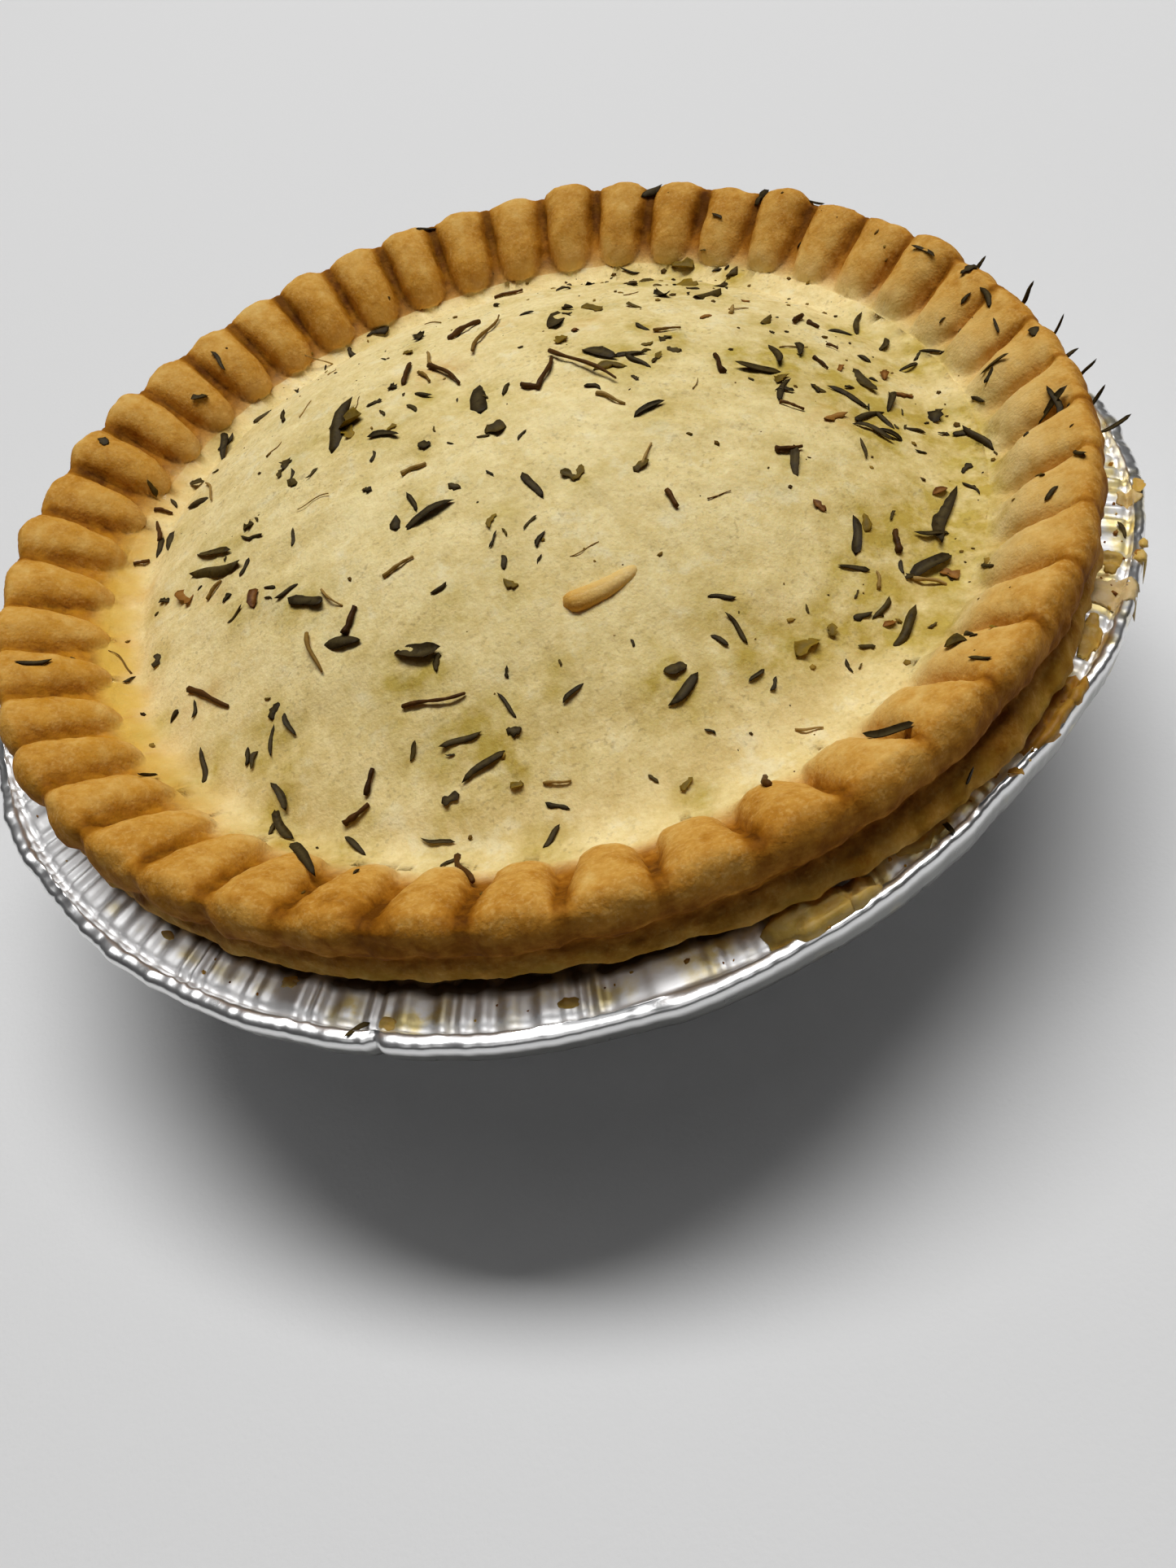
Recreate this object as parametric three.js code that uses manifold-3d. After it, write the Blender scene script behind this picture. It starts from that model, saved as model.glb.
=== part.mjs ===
// A round single-serve chicken and ham pie, baked in its foil tray.
// Millimetres, +Z up. The origin is the middle of the tray's base, on the table.
import * as THREE from "three";
import { mergeVertices } from "three/addons/utils/BufferGeometryUtils.js";
import Module from "manifold-3d";

const wasm = await Module();
wasm.setup();

const fullTurn = 2 * Math.PI;
const degree = Math.PI / 180;

// Foil tray
const trayDiameter = 127;       // over the rolled rim
const flangeHeight = 31;        // flange above the table
const trayBaseDiameter = 88;
const mouthDiameter = 113;      // where the wall turns out into the flange
const cornerRadius = 2;         // between base and wall, and between wall and flange
const foilThickness = 0.45;
const beadRadius = 1.2;         // rolled edge of the rim
const beadDip = 0.75;           // centre of the rolled edge below the flange
const skirtDrop = 2.6;          // foil hanging below the flange outside the roll
const flangeStop = 1.56;        // the flange ends this far inside the rolled edge's centre
const fluteCount = 36;          // soft pleats round the wall and flange
const fluteDepth = 0.3;         // on the wall
const flangeRipple = 0.15;      // on the flange
const rimDent = { angle: -60 * degree, spread: 42 * degree, depth: 2.2 };    // rim knocked inwards
const rimDrop = { angle: 5 * degree, spread: 38 * degree, depth: 2.8 };      // rim bent down

// Crimped pastry edge, sections through a ridge and through a groove
const ridgeCount = 46;
const firstRidgeAngle = 87.5 * degree;
const crestHeight = 40.7;
const ridge = { inner: 47.6, top: 56.6, outer: 58.8, rise: 7, shoulder: 3.4, bulge: 1.6 };
const groove = { inner: 48, top: 56.3, outer: 57.9, rise: 5.6, shoulder: 2, bulge: 1.05 };
const lobeRound = 2.2;          // how round the ridges are across their tops
const lobeSteep = 0.75;         // how sharp the grooves are
const ridgeUneven = 0.45;       // random lift or drop of each ridge
const flatSide = { angle: -15 * degree, spread: 80 * degree, share: 0.5 };   // shallow grooves
const sagSide = { angle: 15 * degree, spread: 65 * degree, drop: 1.4, inset: 0.9 };   // sunk crest

// Pastry lid and side
const lidRadius = ridge.inner;
const lidEdgeHeight = crestHeight - ridge.rise;
const domeRise = 11.5;
const domeRadius = 45;
const domeFlatness = 2.5;       // over two: flatter on top and steeper at its edge than a parabola
const domeFullness = 1.15;      // over one: the dome's foot is eased
const easedSide = { angle: -125 * degree, spread: 115 * degree, more: 0.4 };   // a longer foot at the front and left
const trough = { radius: 45.7, width: 1.9, depth: 0.7 };        // between the dome and the crimp
const swellHeight = 0.45;       // uneven filling under the lid
const swellLength = 9;
const dent = { x: -2.7, y: 8.3, depth: 0.8, radius: 5 };
const seam = { radius: 57.9, height: crestHeight - 5.4 };       // crimped edge meets the base pastry
const lip = { radius: 58.2, height: flangeHeight + 2.2 };       // edge of the base pastry
const lipUnder = { radius: 57.5, height: flangeHeight + 1.2 };
const neck = { radius: 55, height: flangeHeight + 1.1 };
// at the front right the lip stands out
const ledge = { angle: -62 * degree, spread: 42 * degree, reach: 1.8, height: lip.height, depth: 1.5 };
const fitGap = 0.35;            // between pastry and foil

// Bead of pastry on the lid, thick at its first end
const nub = { x: 4.4, y: -24.8, length: 8, width: 2.8, heading: 14 * degree, taper: 0.5, sides: 8, rings: 3 };

// Dried thyme: the largest leaves as x, y, length and heading in degrees
const sprigs = [
  [-17, 9, 7.5, 68], [-15.5, 12.5, 4, 47], [12, 6.5, 5, -59], [10, 4, 9, -57],
  [15.5, 3.5, 4, -60], [5.5, 4.5, 5, 59], [-33, -2.5, 8.5, -32], [-34, 1, 7, -47],
  [-9.5, -11.5, 6, 14], [-23, -15, 5, -40], [36.5, -10.5, 5.5, -33], [35.5, -5.5, 5.5, -47],
  [38.5, -21.5, 9.5, 53], [30, 3, 5.5, 85], [27.5, -0.5, 5, -11], [38.5, -1.5, 5.5, 97],
  [9.5, 17, 6, 82], [1.5, 18.5, 10.5, 68], [-1.5, 3.5, 4, 83], [-12, 4, 4.5, -37],
  [1, -12, 4.5, -74], [29, -24.5, 4.5, 76], [-13, -26.5, 5, -24], [-20, -21.5, 4.5, -21],
  [-29, -26, 4, 73], [-10.5, -38, 5, 16], [8.5, -36.5, 4, 32], [30, -34.5, 5, 42],
  [42, 13, 7, 56], [26, -14.5, 4.5, 75], [27.5, 21, 7.5, 46], [-34, 30, 5.5, 83],
];
const flakeWidth = 1.2;
const flakeThickness = 0.9;
const flakeSides = 6;
const flakeRings = 3;
const flakeLift = 0.12;         // centre of a flake above the pastry
const looseCount = 36;
const looseLength = { least: 2, most: 3.6 };
const looseReach = 45.5;        // loose flakes lie inside this radius
const looseJitter = 2.5;
const sprigClearance = 3.5;     // loose flakes keep this far from the largest leaves
const thymeSeed = 20;

// Samples round each ridge and across the sections
const samplesPerRidge = 6;
const plainPerRidge = 2;
const crimpSteps = [0, 0.25, 0.5, 0.75, 1, 1.5, 2];
const lidRings = [0.18, 0.36, 0.53, 0.68, 0.81, 0.905, 0.96];
const beadTurns = [140, 105, 70, 35, 0];
const cornerTurns = [0, 0.5, 1];

// Linear congruential draw between 0 and 1, the same sequence for the same seed
function seededDraw(seed) {
  let state = seed >>> 0;
  return () => {
    state = (Math.imul(state, 1664525) + 1013904223) >>> 0;
    return state / 2 ** 32;
  };
}

// Smooth bump round the rim: one at the side's angle, nothing past its spread
function sideBump(angle, side) {
  const away = Math.abs(Math.atan2(Math.sin(angle - side.angle), Math.cos(angle - side.angle)));
  return away < side.spread ? Math.cos(away / side.spread * Math.PI / 2) ** 2 : 0;
}

// Height of a crimp section at a radius on its inner slope, a superellipse from foot to top
function slopeHeight(section, radius) {
  const away = Math.min(Math.max((section.top - radius) / (section.top - section.inner), 0), 1);
  return lidEdgeHeight + section.rise * (1 - away ** section.bulge) ** (1 / section.bulge);
}

// Point of a crimp section: steps 0 to 1 climb the inner slope, 1 to 2 turn down over the shoulder
function sectionPoint(section, step) {
  const turn = (step <= 1 ? step : step - 1) * Math.PI / 2;
  if (step <= 1) {
    const radius = section.top - (section.top - section.inner) * Math.cos(turn) ** (2 / section.bulge);
    return { radius, height: slopeHeight(section, radius) };
  }
  return {
    radius: section.top + (section.outer - section.top) * Math.sin(turn),
    height: lidEdgeHeight + section.rise - section.shoulder * (1 - Math.cos(turn)),
  };
}

// Share of the ridge section at an angle: one along a ridge's back, least in a groove
function ridgeShare(angle) {
  const place = (angle - firstRidgeAngle) / fullTurn * ridgeCount;
  const across = 2 * Math.abs(place - Math.round(place));
  const lobe = Math.max(1 - across ** lobeRound, 0) ** lobeSteep;
  const depth = 1 - flatSide.share * sideBump(angle, flatSide);
  return { share: 1 - depth * (1 - lobe), lobe, index: Math.round(place) };
}

const ridgeDraw = seededDraw(ridgeCount);
const ridgeLifts = Array.from({ length: ridgeCount }, () => ridgeUneven * (2 * ridgeDraw() - 1));

// How far a place on the crimp stands off the even form: uneven ridges, and the low side
function crimpOffset(angle, lobe, index, climb) {
  const lift = ridgeLifts[((index % ridgeCount) + ridgeCount) % ridgeCount] * lobe;
  return climb * (lift - sagSide.drop * sideBump(angle, sagSide));
}

function crimpPoint(angle, step) {
  const { share, lobe, index } = ridgeShare(angle);
  const high = sectionPoint(ridge, step);
  const low = sectionPoint(groove, step);
  const climb = step < 1 ? Math.sin(step * Math.PI / 2) : 1;
  const inset = climb * sagSide.inset * sideBump(angle, sagSide);
  const radius = low.radius + (high.radius - low.radius) * share - inset;
  const height = low.height + (high.height - low.height) * share + crimpOffset(angle, lobe, index, climb);
  return new THREE.Vector3(radius * Math.cos(angle), radius * Math.sin(angle), height);
}

// Lid: a dome, steepest near its foot, with low swells, one dent and a trough along the crimp
function lidHeight(x, y) {
  const radius = Math.hypot(x, y);
  const inside = Math.max(1 - (radius / domeRadius) ** domeFlatness, 0);
  const fullness = domeFullness + easedSide.more * sideBump(Math.atan2(y, x), easedSide);
  const swell = swellHeight * inside * Math.sin(x / swellLength + 1) * Math.cos(y / swellLength);
  const dip = dent.depth * Math.exp(-((x - dent.x) ** 2 + (y - dent.y) ** 2) / dent.radius ** 2);
  const sunk = trough.depth * Math.exp(-(((radius - trough.radius) / trough.width) ** 2));
  return lidEdgeHeight + domeRise * inside ** fullness + swell - dip - sunk;
}

// Height of the pie's top, lid or inner slope of the crimp, above a point
function topHeight(x, y) {
  const radius = Math.hypot(x, y);
  if (radius <= lidRadius) return lidHeight(x, y);
  const { share } = ridgeShare(Math.atan2(y, x));
  const low = slopeHeight(groove, radius);
  return low + (slopeHeight(ridge, radius) - low) * share;
}

// Inner face of the tray's wall at a height
function wallRadius(height) {
  return (trayBaseDiameter + (mouthDiameter - trayBaseDiameter) * height / flangeHeight) / 2;
}

// Rings of points from the lid's middle over the crimp, down the side and under the pie
function pieRings() {
  const ringOf = (perRidge, place) => Array.from({ length: ridgeCount * perRidge }, (unused, index) => {
    const angle = firstRidgeAngle + (index / perRidge - 0.5) * fullTurn / ridgeCount;
    return place(angle);
  });
  const circle = ({ radius, height }) => ringOf(plainPerRidge, (angle) => {
    const bell = Math.exp(-(((height - ledge.height) / ledge.depth) ** 2));
    const reach = radius + ledge.reach * bell * sideBump(angle, ledge);
    return new THREE.Vector3(reach * Math.cos(angle), reach * Math.sin(angle), height);
  });
  const lid = lidRings.map((share) => ringOf(plainPerRidge, (angle) => {
    const x = share * lidRadius * Math.cos(angle);
    const y = share * lidRadius * Math.sin(angle);
    return new THREE.Vector3(x, y, lidHeight(x, y));
  }));
  const crimp = crimpSteps.map((step) => ringOf(samplesPerRidge, (angle) => crimpPoint(angle, step)));
  const floor = foilThickness + fitGap;
  const clear = fitGap + fluteDepth + foilThickness;
  const side = [
    seam,
    lip,
    lipUnder,
    neck,
    { radius: wallRadius(flangeHeight - cornerRadius) - clear, height: flangeHeight - cornerRadius },
    { radius: wallRadius(cornerRadius) - clear, height: floor + cornerRadius },
    { radius: wallRadius(0) - clear - cornerRadius, height: floor },
  ].map(circle);
  return [...lid, ...crimp, ...side];
}

// Closed skin over rings of any counts, fanned to a point at each end
function skinOver(rings, firstPoint, lastPoint) {
  const points = [firstPoint, ...rings.flat(), lastPoint];
  const starts = [];
  rings.reduce((start, ring) => {
    starts.push(start);
    return start + ring.length;
  }, 1);
  const triangles = [];
  const at = (ring, index) => starts[ring] + index % rings[ring].length;
  rings[0].forEach((unused, index) => triangles.push(0, at(0, index), at(0, index + 1)));
  for (let ring = 0; ring + 1 < rings.length; ring += 1) {
    const here = rings[ring].length;
    const next = rings[ring + 1].length;
    let a = 0;
    let b = 0;
    while (a < here || b < next) {
      if (b < next && (b + 1) * here <= (a + 1) * next) {
        triangles.push(at(ring, a), at(ring + 1, b), at(ring + 1, b + 1));
        b += 1;
      } else {
        triangles.push(at(ring, a), at(ring + 1, b), at(ring, a + 1));
        a += 1;
      }
    }
  }
  const end = rings.length - 1;
  const last = points.length - 1;
  rings[end].forEach((unused, index) => triangles.push(last, at(end, index + 1), at(end, index)));
  const geometry = new THREE.BufferGeometry().setFromPoints(points);
  geometry.setIndex(triangles);
  return geometry;
}

function solidOf(geometry) {
  const bare = geometry.clone();
  bare.deleteAttribute("normal");
  bare.deleteAttribute("uv");
  const merged = mergeVertices(bare);
  return new wasm.Manifold(new wasm.Mesh({
    numProp: 3,
    vertProperties: new Float32Array(merged.attributes.position.array),
    triVerts: new Uint32Array(merged.index.array),
  }));
}

function geometryOf(solid) {
  const mesh = solid.getMesh();
  const geometry = new THREE.BufferGeometry();
  geometry.setAttribute("position", new THREE.BufferAttribute(mesh.vertProperties, 3));
  geometry.setIndex(new THREE.BufferAttribute(mesh.triVerts, 1));
  geometry.computeVertexNormals();
  return geometry;
}

// Puts a shape that is long in Y on the pie's top, following the slope under its two ends
function layOnTop(geometry, { x, y, length, heading, lift }) {
  const reach = length / 2;
  const ends = [-reach, reach].map((offset) => {
    const endX = x + offset * Math.cos(heading);
    const endY = y + offset * Math.sin(heading);
    return new THREE.Vector3(endX, endY, topHeight(endX, endY));
  });
  const along = ends[1].clone().sub(ends[0]).normalize();
  const across = new THREE.Vector3(along.y, -along.x, 0).normalize();
  const up = across.clone().cross(along);
  const placed = new THREE.Matrix4().makeBasis(across, along, up);
  placed.setPosition(x, y, topHeight(x, y) + lift);
  return geometry.applyMatrix4(placed);
}

function thymeFlake({ x, y, length, heading }) {
  const flake = new THREE.SphereGeometry(0.5, flakeSides, flakeRings);
  flake.scale(flakeWidth, length, flakeThickness);
  return layOnTop(flake, { x, y, length: length / 2, heading, lift: flakeLift });
}

// Loose flakes on a golden-angle spiral with a random shift, clear of the largest leaves
function looseFlakes() {
  const goldenAngle = fullTurn * (3 - Math.sqrt(5)) / 2;
  const draw = seededDraw(thymeSeed);
  const flakes = [];
  for (let index = 0; index < looseCount; index += 1) {
    const radius = looseReach * Math.sqrt((index + 0.5) / looseCount);
    const x = radius * Math.cos(index * goldenAngle) + looseJitter * (2 * draw() - 1);
    const y = radius * Math.sin(index * goldenAngle) + looseJitter * (2 * draw() - 1);
    const length = looseLength.least + (looseLength.most - looseLength.least) * draw();
    const heading = Math.PI * draw();
    const free = sprigs.every((sprig) => Math.hypot(x - sprig[0], y - sprig[1]) > sprigClearance);
    if (free && Math.hypot(x, y) < looseReach) flakes.push({ x, y, length, heading });
  }
  return flakes;
}

// Pastry bead: a round-ended rod along Y, thinned towards its far end
function pastryNub() {
  const bead = new THREE.CapsuleGeometry(nub.width / 2, nub.length - nub.width, nub.rings, nub.sides);
  const spots = bead.attributes.position;
  for (let index = 0; index < spots.count; index += 1) {
    const girth = 1 - nub.taper * (spots.getY(index) / nub.length + 0.5);
    spots.setX(index, spots.getX(index) * girth);
    spots.setZ(index, spots.getZ(index) * girth);
  }
  return layOnTop(bead, { ...nub, lift: 0 });
}

function pieGeometry() {
  const rings = pieRings();
  const top = new THREE.Vector3(0, 0, lidHeight(0, 0));
  const bottom = new THREE.Vector3(0, 0, foilThickness + fitGap);
  const leaves = sprigs.map(([x, y, length, turn]) => ({ x, y, length, heading: turn * degree }));
  const toppings = [pastryNub(), ...[...leaves, ...looseFlakes()].map(thymeFlake)];
  const bare = solidOf(skinOver(rings, top, bottom));
  return geometryOf(toppings.reduce((pie, topping) => pie.add(solidOf(topping)), bare));
}

// Upper line of the tray's section: base, wall, flange, the rolled rim and its skirt
function trayLine() {
  const slope = Math.atan2((mouthDiameter - trayBaseDiameter) / 2, flangeHeight);
  const turned = Math.PI / 2 - slope;
  const bend = cornerRadius * Math.tan(turned / 2);
  const baseEdge = trayBaseDiameter / 2;
  const mouth = mouthDiameter / 2;
  const low = cornerTurns.map((share) => new THREE.Vector2(
    baseEdge - bend + cornerRadius * Math.sin(share * turned),
    foilThickness + cornerRadius * (1 - Math.cos(share * turned))));
  const high = cornerTurns.map((share) => new THREE.Vector2(
    mouth + bend - cornerRadius * Math.sin((1 - share) * turned),
    flangeHeight - cornerRadius * (1 - Math.cos((1 - share) * turned))));
  const beadCentre = new THREE.Vector2(trayDiameter / 2 - beadRadius, flangeHeight - beadDip);
  const bead = beadTurns.map((turn) => new THREE.Vector2(
    beadCentre.x + beadRadius * Math.cos(turn * degree),
    beadCentre.y + beadRadius * Math.sin(turn * degree)));
  const skirtEnd = new THREE.Vector2(trayDiameter / 2, flangeHeight - skirtDrop);
  const flangeEnd = new THREE.Vector2(beadCentre.x - flangeStop, flangeHeight);
  return [new THREE.Vector2(0, foilThickness), ...low, ...high, flangeEnd, ...bead, skirtEnd];
}

// The same line one foil thickness below, each point moved square to the line there
function underLine(line) {
  return line.map((point, index) => {
    const before = line[Math.max(index - 1, 0)];
    const after = line[Math.min(index + 1, line.length - 1)];
    const run = after.clone().sub(before).normalize().multiplyScalar(foilThickness);
    return new THREE.Vector2(index === 0 ? 0 : point.x + run.y, point.y - run.x);
  });
}

// Pleats wave the wall in and out and the flange up and down; the rim is drawn in at the dent and bent down at the drop
function pleatAndDent(spots) {
  const mouth = mouthDiameter / 2;
  const rim = trayDiameter / 2;
  const flangeEnd = rim - 2 * beadRadius;
  for (let index = 0; index < spots.count; index += 1) {
    const x = spots.getX(index);
    const y = spots.getY(index);
    const z = spots.getZ(index);
    const radius = Math.hypot(x, y);
    if (radius < trayBaseDiameter / 4) continue;
    const angle = Math.atan2(y, x);
    const wave = Math.cos(fluteCount * angle);
    const climb = Math.min(Math.max((z - cornerRadius) / flangeHeight, 0), 1);
    const outward = Math.min(Math.max((radius - mouth) / (rim - mouth), 0), 1);
    const swing = radius < mouth ? fluteDepth * climb * wave : 0;
    const pushed = radius + swing - rimDent.depth * outward * sideBump(angle, rimDent);
    const lift = radius > mouth && radius < flangeEnd ? flangeRipple * wave : 0;
    const drop = rimDrop.depth * outward * sideBump(angle, rimDrop);
    spots.setXYZ(index, x / radius * pushed, y / radius * pushed, z + lift - drop);
  }
}

function trayGeometry() {
  const line = trayLine();
  const section = [...underLine(line), ...line.reverse()];
  const tray = new THREE.LatheGeometry(section, 2 * fluteCount);
  tray.rotateX(Math.PI / 2);
  pleatAndDent(tray.attributes.position);
  return geometryOf(solidOf(tray));
}

const pastryFinish = new THREE.MeshStandardMaterial({ color: 0xd9b877, roughness: 0.75, metalness: 0 });
const foilFinish = new THREE.MeshStandardMaterial({ color: 0xc9cbcd, roughness: 0.3, metalness: 1 });

const pie = new THREE.Mesh(pieGeometry(), pastryFinish);
pie.name = "pie";

const foilTray = new THREE.Mesh(trayGeometry(), foilFinish);
foilTray.name = "foil_tray";

const pieInTray = new THREE.Group();
pieInTray.add(foilTray, pie);

export default pieInTray;
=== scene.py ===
import math

import bpy
import numpy as np
from mathutils import Matrix, Vector
from mathutils.bvhtree import BVHTree


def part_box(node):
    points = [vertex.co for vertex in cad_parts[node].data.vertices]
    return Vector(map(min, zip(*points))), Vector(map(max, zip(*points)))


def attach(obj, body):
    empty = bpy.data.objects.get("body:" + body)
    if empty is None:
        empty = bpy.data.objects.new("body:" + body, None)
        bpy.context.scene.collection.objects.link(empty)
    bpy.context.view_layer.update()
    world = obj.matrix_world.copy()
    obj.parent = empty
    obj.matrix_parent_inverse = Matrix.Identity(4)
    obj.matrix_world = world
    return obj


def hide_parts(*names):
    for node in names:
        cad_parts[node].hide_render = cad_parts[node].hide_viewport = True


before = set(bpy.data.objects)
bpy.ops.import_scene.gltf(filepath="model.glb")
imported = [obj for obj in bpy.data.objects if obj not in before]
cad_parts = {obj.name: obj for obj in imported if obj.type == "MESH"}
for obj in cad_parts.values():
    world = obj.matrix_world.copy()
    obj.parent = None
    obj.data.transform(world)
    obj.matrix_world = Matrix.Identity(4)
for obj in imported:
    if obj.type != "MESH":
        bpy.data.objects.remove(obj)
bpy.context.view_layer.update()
trayLow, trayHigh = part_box("foil_tray")
trayWidth = 127      # over its rim, in the millimetres that all lengths below are in
mm = (trayHigh.x - trayLow.x) / trayWidth
print("frame loaded:", ", ".join(sorted(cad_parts)))


# Helpers for shapes

def softNoise(points, size, seed, waves=18):
    # Smooth noise about one unit high: sqrt(2 / waves) * sum of sin(point . k + phase),
    # each k with a random heading and a wave length near the given size
    draw = np.random.default_rng(seed)
    heading = draw.normal(size=(3, waves))
    heading *= 2 * np.pi / size * draw.uniform(0.6, 1.6, waves) / np.linalg.norm(heading, axis=0)
    phase = draw.uniform(0, 2 * np.pi, waves)
    return np.sqrt(2 / waves) * np.sin(points @ heading + phase).sum(axis=-1)


def softNoises(points, layers):
    # Sum of height * softNoise over layers, each given by its size, seed and height
    return sum(height * softNoise(points, size, seed) for size, seed, height in layers)


def smoothStep(low, high, value):
    # 3 t^2 - 2 t^3 with t running from 0 at low to 1 at high
    t = np.clip((value - low) / (high - low), 0, 1)
    return t * t * (3 - 2 * t)


def grown(amount, low, high, value):
    # A smooth step as high as an amount
    return amount * smoothStep(low, high, value)


def bell(width, *away):
    # exp(-d^2 / width^2), d^2 being the sum of the squares of the distances
    return np.exp(-sum(part ** 2 for part in away) / width ** 2)


def sideBump(angle, side):
    # cos^2 of the angle from the side's middle, stretched so that it ends at the side's spread
    away = np.abs(np.angle(np.exp(1j * (angle - math.radians(side["angle"])))))
    return np.cos(np.minimum(away / math.radians(side["spread"]), 1) * np.pi / 2) ** 2


def polar(radius, angle, height):
    # Points at radius * cos(angle), radius * sin(angle) and a height
    return np.stack(np.broadcast_arrays(radius * np.cos(angle), radius * np.sin(angle), height), axis=-1)


def turns(columns):
    # An angle for each column round a full turn
    return np.linspace(0, 2 * np.pi, columns, endpoint=False)


def gridNormals(grid):
    # Unit normals of a grid whose columns close: cross product of the steps along columns and rows
    alongRows = np.gradient(grid, axis=0)
    alongColumns = np.roll(grid, -1, axis=1) - np.roll(grid, 1, axis=1)
    normal = np.cross(alongRows, alongColumns)
    return normal / np.maximum(np.linalg.norm(normal, axis=-1, keepdims=True), 1e-9)


def closedSkins(grids, firstPoles, lastPoles):
    # Points and faces of many closed skins: a pole, rows of points that close on themselves, a pole
    copies, rows, columns = grids.shape[:3]
    rings = grids.reshape(copies, rows * columns, 3)
    points = np.concatenate([firstPoles[:, None], rings, lastPoles[:, None]], axis=1)
    here = 1 + np.arange(rows * columns).reshape(rows, columns)
    after = np.roll(here, -1, axis=1)
    quads = np.stack([here[:-1], after[:-1], after[1:], here[1:]], axis=-1).reshape(-1, 4)
    first = np.zeros(columns, int)
    last = np.full(columns, rows * columns + 1)
    fans = np.concatenate([np.stack([first, after[0], here[0]], axis=-1),
                           np.stack([last, here[-1], after[-1]], axis=-1)])
    offset = np.arange(copies)[:, None, None] * points.shape[1]
    return points.reshape(-1, 3), [(quads + offset).reshape(-1, 4), (fans + offset).reshape(-1, 3)]


def skinTraits(**traits):
    # One value for each point of closedSkins: a pole takes the mean of the row beside it
    return {name: np.concatenate([values[:, :1].mean(axis=2), values.reshape(len(values), -1),
                                  values[:, -1:].mean(axis=2)], axis=1).ravel()
            for name, values in traits.items()}


def joined(skins):
    # Several skins, each its points, faces and traits, as one
    starts = np.cumsum([0] + [len(skin[0]) for skin in skins])
    points = np.concatenate([skin[0] for skin in skins])
    faces = [np.concatenate([skin[1][block] + start for skin, start in zip(skins, starts)])
             for block in (0, 1)]
    return points, faces, {name: np.concatenate([skin[2][name] for skin in skins]) for name in skins[0][2]}


def signedVolume(points, faces):
    # Sum of a . (b x c) / 6 over the triangles of all faces, positive when they face outwards
    total = 0
    for block in faces:
        for corner in range(1, block.shape[1] - 1):
            a, b, c = points[block[:, 0]], points[block[:, corner]], points[block[:, corner + 1]]
            total += np.einsum("ij,ij->", a, np.cross(b, c)) / 6
    return total


def addObject(name, data):
    # An object in the scene that shows the data
    added = bpy.data.objects.new(name, data)
    bpy.context.scene.collection.objects.link(added)
    return added


def makePiece(name, skin, finish):
    # Mesh from whole arrays, in metres, turned so that its closed skins face outwards
    points, faces, traits = skin
    if signedVolume(points, faces) < 0:
        faces = [block[:, ::-1] for block in faces]
    corners = np.concatenate([block.ravel() for block in faces])
    sides = np.concatenate([np.full(len(block), block.shape[1]) for block in faces])
    mesh = bpy.data.meshes.new(name)
    mesh.vertices.add(len(points))
    mesh.vertices.foreach_set("co", (points * mm).astype(np.float32).ravel())
    mesh.loops.add(len(corners))
    mesh.loops.foreach_set("vertex_index", corners.astype(np.int32))
    mesh.polygons.add(len(sides))
    mesh.polygons.foreach_set("loop_start", (np.cumsum(sides) - sides).astype(np.int32))
    mesh.polygons.foreach_set("use_smooth", np.ones(len(sides), bool))
    for trait, values in traits.items():
        stored = mesh.attributes.new(trait, "FLOAT", "POINT")
        stored.data.foreach_set("value", np.asarray(values, np.float32).ravel())
    mesh.update(calc_edges=True)
    mesh.validate()
    mesh.materials.append(finish)
    piece = addObject(name, mesh)
    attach(piece, "root")
    print("made", name, "with", len(points), "points and", len(sides), "faces")
    return piece


# Shader sums

class Wire:
    # A node's output in a sum: each operator adds one Math node to the same finish
    def __init__(self, finish, socket):
        self.finish = finish
        self.socket = socket

    def __add__(self, other):
        return self.finish.sum("ADD", self, other)

    def __sub__(self, other):
        return self.finish.sum("SUBTRACT", self, other)

    def __rsub__(self, other):
        return self.finish.sum("SUBTRACT", other, self)

    def __mul__(self, other):
        return self.finish.sum("MULTIPLY", self, other)

    __radd__ = __add__
    __rmul__ = __mul__

    def clamped(self):
        return self.finish.node("ShaderNodeClamp", {}, {0: self})

    def between(self, low, high):
        # 0 below low, 1 above high, straight in between
        return ((self - low) * (1 / (high - low))).clamped()


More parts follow.
